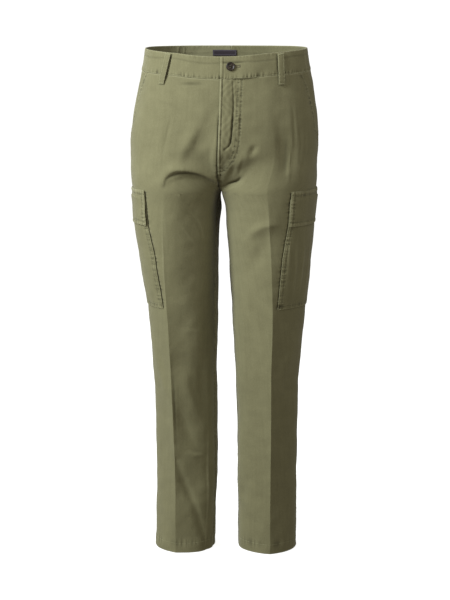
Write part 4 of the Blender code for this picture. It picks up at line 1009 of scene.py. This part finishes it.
# along, radius, height
STITCH_RINGS = ((-0.5, 0.55, -0.9), (-0.3, 1.0, 0.2), (0.3, 1.0, 0.2), (0.5, 0.55, -0.9))
SEWN_TOP = BAND_BOTTOM - 0.001
FLY_ROW_ENDS, FLY_LEAST = (-0.222, -0.214), 0.001
FRONT_RISE = (-0.200, FORK_LEVEL + 0.030)        # top and bottom of the row under the fly
BACK_RISE_END = FORK_LEVEL + 0.020
ROW_INSET = 0.001                                # rows stop short of seams
BAND_INSET = {"left": 0.0015, "right": 0.002}    # and of the waistband's front ends
BAND_END_INSET = 0.002                           # and of its top
TACK_POINTS, TACK_HALF, TACK_BELOW_TOP, TACK_ABOVE_END = 9, 0.0050, 0.002, 0.0025
LOOP_ROW_POINTS, LOOP_ROW_INSET = 50, 0.002
HOLE_START, HOLE_STOP = -0.0030, 0.0180          # of the buttonhole, from the button's middle
HOLE_HALF, HOLE_SATIN, HOLE_PITCH, HOLE_POINTS = 0.0015, 0.0014, 0.00055, 40
BAR_HALF, BAR_POINTS = 0.0026, 12


def unit(vectors):
    return vectors / np.linalg.norm(vectors, axis=-1, keepdims=True)


def evenly(points, normals, pitch):
    """Centres, directions and normals at even steps along a line of points."""
    run = np.concatenate([[0.0], np.cumsum(np.linalg.norm(np.diff(points, axis=0), axis=1))])
    at = np.arange(pitch / 2, run[-1], pitch)

    def along(values, where):
        return np.stack([np.interp(where, run, values[:, k]) for k in range(3)], 1)

    direction = unit(along(points, at + ASIDE) - along(points, at - ASIDE))
    return along(points, at), direction, unit(along(normals, at))


def sewn(leg, level, place, out):
    """Points and normals of a sewn line on the folded cloth, at a height over the bare surface."""
    bare, normal = bare_point(leg, level, place), cloth_normal(leg, level, place)
    lift = fold_height(leg, bare)[0] + crumple(bare) + (out(level, place) if callable(out) else out)
    return kept_apart(leg, level, place, bare + lift[..., None] * normal), normal


def running(points, normals):
    """Stitches end to end along a line."""
    centres, along, out = evenly(points, normals, STITCH_PITCH)
    return centres, along, out, np.full(len(centres), STITCH_LENGTH)


def satin(points, normals, length=TACK_LENGTH, pitch=TACK_PITCH):
    """Close stitches across a line, as in a bar tack or a buttonhole."""
    centres, along, out = evenly(points, normals, pitch)
    return centres, unit(np.cross(out, along)), out, np.full(len(centres), length)


def cloth_tree(pieces):
    """The pieces' faces, for rays to be cast at."""
    points, faces, count = [], [], 0
    for piece in pieces:
        mesh = piece.data
        place = np.empty(3 * len(mesh.vertices))
        mesh.vertices.foreach_get("co", place)
        corner = np.empty(len(mesh.loops), int)
        mesh.loops.foreach_get("vertex_index", corner)
        points.append(place.reshape(-1, 3))
        faces.append(corner.reshape(-1, 4) + count)
        count += len(mesh.vertices)
    return bvhtree.BVHTree.FromPolygons(np.concatenate(points).tolist(), np.concatenate(faces).tolist())


def dropped(tree, at, out):
    """The point of the cloth under or over a point."""
    hit = tree.ray_cast(Vector(at + DROP * out), Vector(-out), 2 * DROP)[0]
    return at if hit is None else np.array(hit)


def laid_on(pieces, groups):
    """The stitches with their middles and both ends put down on the pieces' cloth."""
    tree = cloth_tree(pieces)
    found = []
    for centres, along, out, length in groups:
        ends = [centres + along * (share * length)[:, None] for share in (-0.5, 0.0, 0.5)]
        tail, middle, head = (np.array([dropped(tree, at, way) for at, way in zip(end, out)]) for end in ends)
        along = unit(head - tail)
        out = unit(out - np.sum(out * along, 1, keepdims=True) * along)
        found.append((middle, along, out, length))
    return found


def thread_mesh(name, groups, material):
    centres, along, out, length = (np.concatenate([group[k] for group in groups]) for k in range(4))
    aside = np.cross(out, along)
    turns = round_turns(STITCH_SIDES)[None, :, None]
    rings = []
    for at, wide, high in STITCH_RINGS:
        middle = centres + along * (at * length)[:, None] + out * (high * STITCH_RADIUS)
        spoke = np.cos(turns) * aside[:, None] + np.sin(turns) * out[:, None]
        rings.append(middle[:, None] + STITCH_RADIUS * wide * spoke)
    index = np.arange(len(STITCH_RINGS) * STITCH_SIDES).reshape(-1, STITCH_SIDES)
    offsets = np.arange(len(centres))[:, None, None] * index.size
    faces = (ring_faces(index)[:, ::-1] + offsets).reshape(-1, 4).tolist()
    for cap in (index[0], index[-1][::-1]):
        faces += (cap + offsets[:, 0]).tolist()
    piece = linked(name, mesh_from(name, np.stack(rings, 1).reshape(-1, 3), faces), material)
    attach(piece, "root")
    return piece


def sewn_down(leg, level, guide, at, out):
    """A sewn line through these levels, at a distance along each row from a guide place."""
    lengths = row_lengths(leg, level)
    place = places_at(lengths, length_at(lengths, guide) + (at(level) if callable(at) else at))
    return sewn(leg, level, place, out)


def down_row(leg, top, bottom, guide, at, out):
    """A sewn line from top to bottom, at a distance along each row from a guide place."""
    level = np.linspace(top, bottom, max(FEWEST_POINTS, round((top - bottom) / SEWN_STEP)))
    return sewn_down(leg, level, guide, at, out)


def sewn_across(leg, level, guide, distances, out):
    """A sewn line round the cloth at a level, at distances from a guide place."""
    rows = np.full(len(distances), level)
    lengths = row_lengths(leg, rows[:1])
    place = places_at(lengths, length_at(lengths, guide)[:, None] + distances[None])[0]
    return sewn(leg, rows, place, out)


def across_row(leg, level, start, stop, out):
    """A sewn line round the cloth at a level, between two distances from the side seam."""
    count = max(FEWEST_POINTS, round((stop - start) / SEWN_STEP))
    return sewn_across(leg, level, SIDE, np.linspace(start, stop, count), out)


def half_ends(leg, level):
    """The distances of a half's front and back ends from its side seam, at a level."""
    lengths = row_lengths(leg, np.full(1, level))
    return [length_at(lengths, end)[0] - length_at(lengths, SIDE)[0] for end in (INNER, INNER_BACK)]


def pocket_share(leg, level, place):
    """How far along a cargo pocket's row a place is, from 0 at its front edge to 1 behind."""
    lengths = row_lengths(leg, level)
    side = length_at(lengths, SIDE)
    front, behind = side - read_line(POCKET_EDGE, level), side + POCKET_BEHIND
    return (length_at(lengths, place) - front) / (behind - front)


def cargo_stitching(leg, pieces, material):
    """Two rows round the pocket, and round its flap."""
    def over(part):
        return lambda level, place: patch_lift(leg, part, level, pocket_share(leg, level, place)) + WALL

    on_pocket, on_flap, first = over("cargo_pocket"), over("cargo_flap"), EDGE_ROWS[0]
    lines = []
    for row in EDGE_ROWS:
        for near in (lambda z: row - read_line(POCKET_EDGE, z), POCKET_BEHIND - row):
            lines.append(down_row(leg, FLAP_BOTTOM, POCKET_BOTTOM + row, SIDE, near, on_pocket))
            lines.append(down_row(leg, FLAP_TOP - first, FLAP_BOTTOM + row, SIDE, near, on_flap))
        for level, inset, lift in ((POCKET_BOTTOM + row, row, on_pocket), (FLAP_TOP - row, first, on_flap),
                                   (FLAP_BOTTOM + row, first, on_flap)):
            start = inset - float(read_line(POCKET_EDGE, level))
            lines.append(across_row(leg, level, start, POCKET_BEHIND - inset, lift))
    groups = [running(*line) for line in lines]
    return thread_mesh(f"{leg}_cargo_stitching", laid_on(pieces, groups), material)


def panel_stitching(leg, pieces, material):
    """Rows at the slant pocket, down the back rise, and round the hem."""
    lines = []
    for mouth_row, rise_row in zip(MOUTH_ROWS, RISE_ROWS):
        lines.append(down_row(leg, SEWN_TOP, MOUTH_TURN, SIDE,
                              lambda z: -read_line(MOUTH, z) - mouth_row, 0.0))
        lines.append(down_row(leg, SEWN_TOP, BACK_RISE_END, INNER_BACK, -rise_row, 0.0))
    start, stop = half_ends(leg, HEM_LEVEL + HEM_ROW)
    lines.append(across_row(leg, HEM_LEVEL + HEM_ROW, start + ROW_INSET, stop - ROW_INSET, 0.0))
    groups = [running(*line) for line in lines]
    return thread_mesh(f"{leg}_panel_stitching", laid_on(pieces, groups), material)


def fly_stitching(panel, material):
    """The two rows of the J, and the row down the front rise under it."""
    def on_fly(level, place):
        return fly_rise(bare_point("left", level, place), level)

    lines = []
    for apart, end in zip((0.0, FLY_ROWS_APART), FLY_ROW_ENDS):
        lines.append(down_row("left", SEWN_TOP, end, INNER,
                              lambda z: np.maximum(read_line(FLY_LINE, z) - apart, FLY_LEAST), on_fly))
    lines.append(down_row("left", *FRONT_RISE, INNER, RISE_ROWS[0], on_fly))
    return thread_mesh("fly_stitching", laid_on([panel], [running(*line) for line in lines]), material)


def band_stitching(bands, material):
    """A row along the waistband's lower edge, and one down its overlapping end."""
    lines = []
    low_row = BAND_BOTTOM + BAND_ROW
    for leg in SIDE_SIGN:
        start, stop = half_ends(leg, low_row)
        for part, low, high in (("front", start + BAND_INSET[leg], -BAND_SEAM - ROW_INSET),
                                ("back", -BAND_SEAM + ROW_INSET, stop - ROW_INSET)):
            lines.append(across_row(leg, low_row, low, high,
                                    lambda z, p: band_out(leg, part, bare_point(leg, z, p), z)))
    lines.append(down_row("left", WAIST_TOP - BAND_END_INSET, low_row, INNER, BAND_INSET["left"],
                          BAND_PROUD + OVERLAP_RISE))
    return thread_mesh("waistband_stitching", laid_on(bands, [running(*line) for line in lines]), material)


def loop_stitching(loops, material):
    """Bar tacks across both ends of each belt loop, and a row down both its sides."""
    groups = []
    level = np.linspace(LOOP_TOP - LOOP_ROW_INSET, LOOP_BOTTOM + LOOP_ROW_INSET, LOOP_ROW_POINTS)
    across = np.linspace(-TACK_HALF, TACK_HALF, TACK_POINTS)
    for _, leg, top, bottom in LOOPS:
        for tack, guide in ((LOOP_TOP - TACK_BELOW_TOP, top), (LOOP_BOTTOM + TACK_ABOVE_END, bottom)):
            groups.append(satin(*sewn_across(leg, tack, guide, across, loop_bow(tack) + LOOP_WALL)))
        line = loop_place(top, bottom, level)
        for side in (-1, 1):
            aside = side * (LOOP_WIDTH / 2 - LOOP_ROW)
            groups.append(running(*sewn_down(leg, level, line, aside, loop_bow(level) + LOOP_WALL)))
    return thread_mesh("loop_stitching", laid_on(loops, groups), material)


def buttonhole(band, material):
    """Close stitches round the slot that the button passes through, and a bar tack at its end."""
    along = np.linspace(HOLE_START, HOLE_STOP, HOLE_POINTS)
    lines = [(along, side * HOLE_HALF + np.zeros(HOLE_POINTS)) for side in (-1, 1)]
    lines.append((HOLE_STOP, np.linspace(-BAR_HALF, BAR_HALF, BAR_POINTS)))
    groups = []
    for distance, upward in lines:
        line = sewn_down("left", BUTTON_LEVEL + upward, INNER, BUTTON_FROM_FRONT + distance,
                         BAND_PROUD + OVERLAP_RISE + BAND_LEAN)
        groups.append(satin(*line, HOLE_SATIN, HOLE_PITCH))
    return thread_mesh("buttonhole_stitching", laid_on([band], groups), material)


# ---------------------------------------------------------------- button
# radius, height
BUTTON_PROFILE = (
    (0.0000, 0.0000), (0.0066, 0.0000), (0.0076, 0.0003), (0.0083, 0.0009), (0.0085, 0.0016),
    (0.0084, 0.0024), (0.0080, 0.0029), (0.0074, 0.0031), (0.0068, 0.0030), (0.0063, 0.0025),
    (0.0059, 0.0021), (0.0052, 0.0020), (0.0044, 0.0020), (0.0038, 0.0020), (0.0033, 0.0020),
    (0.0029, 0.0020), (0.0025, 0.0020), (0.0021, 0.0020), (0.0017, 0.0020), (0.0013, 0.0020),
    (0.0009, 0.0020), (0.0004, 0.0020), (0.0000, 0.0020),
)
BUTTON_SIDES, BUTTON_FACE = 72, 10     # the holes are in the rings from this one on
BUTTON_SHARP = math.radians(50)
HOLE_FROM_MIDDLE, HOLE_RADIUS, HOLE_DEPTH = 0.0024, 0.0008, 0.0016
BUTTON_OFF = 0.0006      # its shank holds it this far off the band
THREAD_HEIGHT, THREAD_SHIFT, THREAD_LENGTH = 0.0021, 0.00025, 1.6 * HOLE_FROM_MIDDLE


def button(band, horn, thread):
    points, normals = sewn_down("left", np.array([BUTTON_LEVEL]), INNER, BUTTON_FROM_FRONT,
                                BAND_PROUD + OVERLAP_RISE)
    axis = normals[0]
    centre = dropped(cloth_tree([band]), points[0], axis) + BUTTON_OFF * axis
    along = unit(np.cross((0.0, 0.0, 1.0), axis))
    upward = np.cross(axis, along)
    turns = round_turns(BUTTON_SIDES)
    spots = round_turns(4) + math.pi / 4
    holes = list(zip(HOLE_FROM_MIDDLE * np.cos(spots), HOLE_FROM_MIDDLE * np.sin(spots)))
    rings = []
    for k, (radius, height) in enumerate(BUTTON_PROFILE):
        x, y = radius * np.cos(turns), radius * np.sin(turns)
        high = np.full(BUTTON_SIDES, height)
        for across, up in holes:
            high -= HOLE_DEPTH * (np.hypot(x - across, y - up) < HOLE_RADIUS) * (k >= BUTTON_FACE)
        rings.append(centre + x[:, None] * along + y[:, None] * upward + high[:, None] * axis)
    index = np.arange(len(rings) * BUTTON_SIDES).reshape(-1, BUTTON_SIDES)
    mesh = mesh_from("waist_button_horn", np.concatenate(rings), ring_faces(index).tolist())
    mesh.validate()
    mesh.set_sharp_from_angle(angle=BUTTON_SHARP)
    piece = linked("waist_button_horn", mesh, horn)
    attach(piece, "root")
    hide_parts("waist_button")
    groups = []
    for y in (-1, 1):
        for shift in (-THREAD_SHIFT, THREAD_SHIFT):
            aside = y * HOLE_FROM_MIDDLE * math.sin(math.pi / 4) + shift
            middle = centre + upward * aside + axis * THREAD_HEIGHT
            groups.append((middle[None], along[None], axis[None], np.array([THREAD_LENGTH])))
    thread_mesh("button_thread", groups, thread)
    return piece


# ---------------------------------------------------------------- materials
def nodes_of(name):
    material = bpy.data.materials.new(name)
    material.use_nodes = True
    tree = material.node_tree
    return material, tree, tree.nodes["Principled BSDF"]


def add(tree, kind, inputs=(), **settings):
    node = tree.nodes.new(kind)
    for key, value in settings.items():
        setattr(node, key, value)
    for key, value in dict(inputs).items():
        if isinstance(value, bpy.types.NodeSocket):
            tree.links.new(value, node.inputs[key])
        else:
            node.inputs[key].default_value = value
    return node


def mixed(tree, share, first, second):
    """A colour mix; the share, the first and the second may be sockets or values."""
    return add(tree, "ShaderNodeMix", {0: share, 6: first, 7: second}, data_type="RGBA").outputs[2]


def ranged(tree, value, low, high, top=1.0):
    """0 where the value is low and top where it is high."""
    node = add(tree, "ShaderNodeMapRange", {"Value": value, "From Min": low, "From Max": high, "To Max": top})
    return node.outputs["Result"]


def noise_at(tree, vector, scale, detail=2.0, roughness=0.5):
    inputs = {"Vector": vector, "Scale": scale, "Detail": detail, "Roughness": roughness}
    return add(tree, "ShaderNodeTexNoise", inputs).outputs["Fac"]


def wave_at(tree, vector, scale, direction="X", **inputs):
    inputs = {"Vector": vector, "Scale": scale, **inputs}
    return add(tree, "ShaderNodeTexWave", inputs, bands_direction=direction).outputs["Fac"]


def mapped(tree, vector, **change):
    return add(tree, "ShaderNodeMapping", {"Vector": vector, **change}).outputs[0]


def kept_in(tree, name, output):
    """What the mesh keeps under a name at its points."""
    return add(tree, "ShaderNodeAttribute", attribute_name=name).outputs[output]


def own_place(tree):
    return add(tree, "ShaderNodeTexCoord").outputs["Object"]


def finish(tree, shader, colour, inputs, height=None, strength=0.0, distance=0.0):
    """Sets the shader's colour and other inputs, and a bump of the height."""
    tree.links.new(colour, shader.inputs["Base Color"])
    for name, value in inputs.items():
        shader.inputs[name].default_value = value
    if height is not None:
        bump = add(tree, "ShaderNodeBump", {"Height": height, "Strength": strength, "Distance": distance})
        tree.links.new(bump.outputs[0], shader.inputs["Normal"])


TWILL_COLOUR = (0.216, 0.2035, 0.1085, 1.0)
TWILL_PALE = (0.355, 0.340, 0.210, 1.0)
TWILL_DEEP = (0.150, 0.140, 0.071, 1.0)
TWILL_PAINTED_SHADE = (0.040, 0.036, 0.018, 1.0)      # painted shade in seams, nips, hollows and fine folds, beside the right inseam and inside the left waistband
TWILL_PITCH, TWILL_TURN = 0.0010, math.radians(58)
WAVE_PERIOD = 2 * math.pi / 20    # of Blender's wave texture at scale 1
THREAD_COLOURS = (0.235, 0.230, 0.115, 1.0), (0.39, 0.385, 0.23, 1.0)
BUTTON_THREAD_COLOURS = (0.055, 0.045, 0.024, 1.0), (0.13, 0.11, 0.06, 1.0)
HORN_DARK, HORN_PALE = (0.012, 0.009, 0.008, 1.0), (0.070, 0.045, 0.030, 1.0)
TAPE_DARK, TAPE_PALE = (0.025, 0.018, 0.025, 1.0), (0.044, 0.034, 0.045, 1.0)
TAPE_BORDER = (0.22, 0.20, 0.25, 1.0)
TAPE_ACROSS, TAPE_DOWN = 0.0007, 0.0006      # distances between the tape's ribs


def twill_material():
    material, tree, shader = nodes_of("olive_twill_weave")
    cloth, wear_and_shade = kept_in(tree, "cloth", "Vector"), kept_in(tree, "wear_and_shade", "Fac")
    wale = wave_at(tree, mapped(tree, cloth, Rotation=(0, 0, TWILL_TURN)), WAVE_PERIOD / TWILL_PITCH,
                   **{"Distortion": 1.2, "Detail": 1.0, "Detail Scale": 0.8})
    yarn = noise_at(tree, mapped(tree, cloth, Scale=(1.0, 0.18, 1.0)), 900.0)
    slub = noise_at(tree, mapped(tree, cloth, Scale=(1.0, 0.07, 1.0)), 170.0)
    heather = noise_at(tree, cloth, 420.0, 3.0, 0.7)
    wash = noise_at(tree, cloth, 26.0, 4.0, 0.6)
    base = mixed(tree, ranged(tree, wash, 0.30, 0.70), TWILL_DEEP, TWILL_COLOUR)
    base = mixed(tree, 0.6, TWILL_COLOUR, base)
    # what shows, from, to, how much of the colour at most
    # the last two rows pale worn edges and painted light, and darken with painted shade, from the mesh's
    # attribute
    for value, low, high, share, colour in (
            (heather, 0.35, 0.75, 0.28, TWILL_PALE), (yarn, 0.35, 0.65, 0.25, TWILL_DEEP),
            (wale, 0.0, 1.0, 0.16, TWILL_PALE), (slub, 0.40, 0.70, 0.20, TWILL_DEEP),
            (wear_and_shade, 0.0, 1.0, 0.55, TWILL_PALE), (wear_and_shade, 0.0, -1.0, 0.85, TWILL_PAINTED_SHADE)):
        base = mixed(tree, ranged(tree, value, low, high, share), base, colour)
    height = add(tree, "ShaderNodeMath", {0: wale, 1: yarn}, operation="ADD").outputs[0]
    look = {"Roughness": 0.88, "Specular IOR Level": 0.25, "Sheen Weight": 0.20, "Sheen Roughness": 0.45}
    finish(tree, shader, base, look, height, 0.35, 0.00025)
    return material


def thread_material(name, first, second):
    material, tree, shader = nodes_of(name)
    place = own_place(tree)
    ply = wave_at(tree, place, 900.0, Distortion=2.0)
    colour = mixed(tree, noise_at(tree, place, 700.0, 1.0), first, second)
    finish(tree, shader, colour, {"Roughness": 0.65, "Sheen Weight": 0.2}, ply, 0.4, 0.0001)
    return material


def horn_material():
    material, tree, shader = nodes_of("dark_horn_button")
    streak = noise_at(tree, own_place(tree), 260.0, 4.0, 0.6)
    colour = mixed(tree, ranged(tree, streak, 0.45, 0.70), HORN_DARK, HORN_PALE)
    finish(tree, shader, colour, {"Roughness": 0.32}, streak, 0.15, 0.0002)
    return material


def tape_material():
    material, tree, shader = nodes_of("dark_label_tape")
    cloth, border = kept_in(tree, "cloth", "Vector"), kept_in(tree, "wear_and_shade", "Fac")
    across = wave_at(tree, cloth, WAVE_PERIOD / TAPE_ACROSS)
    down = wave_at(tree, cloth, WAVE_PERIOD / TAPE_DOWN, "Y")
    rib = add(tree, "ShaderNodeMath", {0: across, 1: down}, operation="MULTIPLY").outputs[0]
    colour = mixed(tree, rib, TAPE_DARK, TAPE_PALE)
    colour = mixed(tree, ranged(tree, border, 0.2, 1.0, 0.22), colour, TAPE_BORDER)
    finish(tree, shader, colour, {"Roughness": 0.55}, rib, 0.4, 0.0001)
    return material


# ---------------------------------------------------------------- stage, lights and camera
FLOOR_LEVEL = HEM_LEVEL - 0.0005
FLOOR_DARK, FLOOR_PALE = (0.42, 0.42, 0.42, 1.0), (0.46, 0.46, 0.46, 1.0)
FLOOR_LOOK = {"Roughness": 0.9, "Emission Color": (1.0, 1.0, 1.0, 1.0), "Emission Strength": 0.90}
STAGE_RADIUS, STAGE_TOP, STAGE_ROUND, STAGE_SIDES, STAGE_RINGS = 5.0, 6.0, 1.5, 64, 13
KEY_TURN, KEY_RISE = math.radians(-51.0), math.radians(34.0)
KEY_DISTANCE, KEY_SIZE, KEY_POWER = 3.0, 1.1, 104.0
KEY_COLOUR, WHITE = (0.93, 0.98, 0.98), (1.0, 1.0, 1.0)
AMBIENT, AMBIENT_COLOUR = 0.265, (0.975, 0.905, 0.76, 1.0)
FILL_AT, FILL_SIZE, FILL_POWER = Vector((0.70, -0.85, 0.60)), 0.8, 3.0
BACK_AT, BACK_SIZE, BACK_POWER = Vector((-1.6, 2.0, 0.9)), 1.2, 34.0
CAMERA_TURN, CAMERA_DISTANCE, CAMERA_HEIGHT, CAMERA_LENS = math.radians(6.0), 2.9, 0.06, 85.2
CAMERA_AIM, SENSOR_WIDTH = Vector((0.0, 0.0, -0.492)), 36.0


def stage():
    """A pale round floor that curves up all about the trousers."""
    material, tree, shader = nodes_of("pale_floor")
    colour = mixed(tree, noise_at(tree, own_place(tree), 3.0), FLOOR_DARK, FLOOR_PALE)
    finish(tree, shader, colour, FLOOR_LOOK)
    rise = np.linspace(0.0, math.pi / 2, STAGE_RINGS)
    radius = np.concatenate([[0.0], STAGE_RADIUS - STAGE_ROUND * (1.0 - np.sin(rise)), [STAGE_RADIUS]])
    height = FLOOR_LEVEL + np.concatenate([[0.0], STAGE_ROUND * (1.0 - np.cos(rise)), [STAGE_TOP]])
    turns = round_turns(STAGE_SIDES)
    x, y = np.outer(radius, np.cos(turns)), np.outer(radius, np.sin(turns))
    rings = np.stack(np.broadcast_arrays(x, y, height[:, None]), -1)
    index = np.arange(rings.size // 3).reshape(-1, STAGE_SIDES)
    mesh = mesh_from("floor", rings.reshape(-1, 3), ring_faces(index).tolist())
    mesh.validate()
    floor = linked("floor", mesh, material)
    floor.visible_diffuse = False
    floor.visible_glossy = False


def placed(name, data, at, aim):
    """A lamp or camera at a point, turned towards its aim."""
    thing = bpy.data.objects.new(name, data)
    thing.location = at
    thing.rotation_euler = (aim - thing.location).to_track_quat("-Z", "Y").to_euler()
    bpy.context.scene.collection.objects.link(thing)
    return thing


def lamp(name, at, aim, size, power, colour):
    light = bpy.data.lights.new(name, "AREA")
    light.energy, light.size, light.color = power, size, colour
    placed(name, light, at, aim)


def lights():
    world = bpy.data.worlds.new("studio")
    bpy.context.scene.world = world
    world.use_nodes = True
    background = world.node_tree.nodes["Background"].inputs
    background["Color"].default_value = AMBIENT_COLOUR
    background["Strength"].default_value = AMBIENT
    flat = math.cos(KEY_RISE)
    away = Vector((math.sin(KEY_TURN) * flat, -math.cos(KEY_TURN) * flat, math.sin(KEY_RISE)))
    lamp("key", CAMERA_AIM + away * KEY_DISTANCE, CAMERA_AIM, KEY_SIZE, KEY_POWER, KEY_COLOUR)
    lamp("top_fill", FILL_AT, Vector((0.0, 0.0, 0.0)), FILL_SIZE, FILL_POWER, WHITE)
    lamp("back_fill", BACK_AT, CAMERA_AIM, BACK_SIZE, BACK_POWER, KEY_COLOUR)


def camera():
    data = bpy.data.cameras.new("camera")
    data.lens, data.sensor_width = CAMERA_LENS, SENSOR_WIDTH
    away = CAMERA_DISTANCE * math.sin(CAMERA_TURN), -CAMERA_DISTANCE * math.cos(CAMERA_TURN), CAMERA_HEIGHT
    bpy.context.scene.camera = placed("camera", data, away, CAMERA_AIM)


def main():
    camera()
    twill, horn, tape = twill_material(), horn_material(), tape_material()
    thread = thread_material("olive_thread", *THREAD_COLOURS)
    dark_thread = thread_material("brown_thread", *BUTTON_THREAD_COLOURS)
    level = panel_levels()
    bands = {}
    for leg in SIDE_SIGN:
        for part in BAND_COLUMNS:
            bands[leg, part] = band_piece(leg, part, twill)
        panels = [front_panel(leg, level, twill), back_panel(leg, level, twill)]
        facing(leg, twill)
        panel_stitching(leg, panels, thread)
        pocket = cargo_patch(leg, "cargo_pocket", twill)
        flap = cargo_patch(leg, "cargo_flap", twill)
        cargo_stitching(leg, [pocket, flap], thread)
        if leg == "left":
            fly_stitching(panels[0], thread)
    loop_stitching([belt_loop(*row, twill) for row in LOOPS], thread)
    band_stitching(bands.values(), thread)
    buttonhole(bands["left", "front"], dark_thread)
    button(bands["left", "front"], horn, dark_thread)
    label(tape)
    for row in ALLOWANCES:
        allowance(*row, twill)
    stage()
    lights()
    bpy.context.scene.view_settings.view_transform = "Standard"


main()
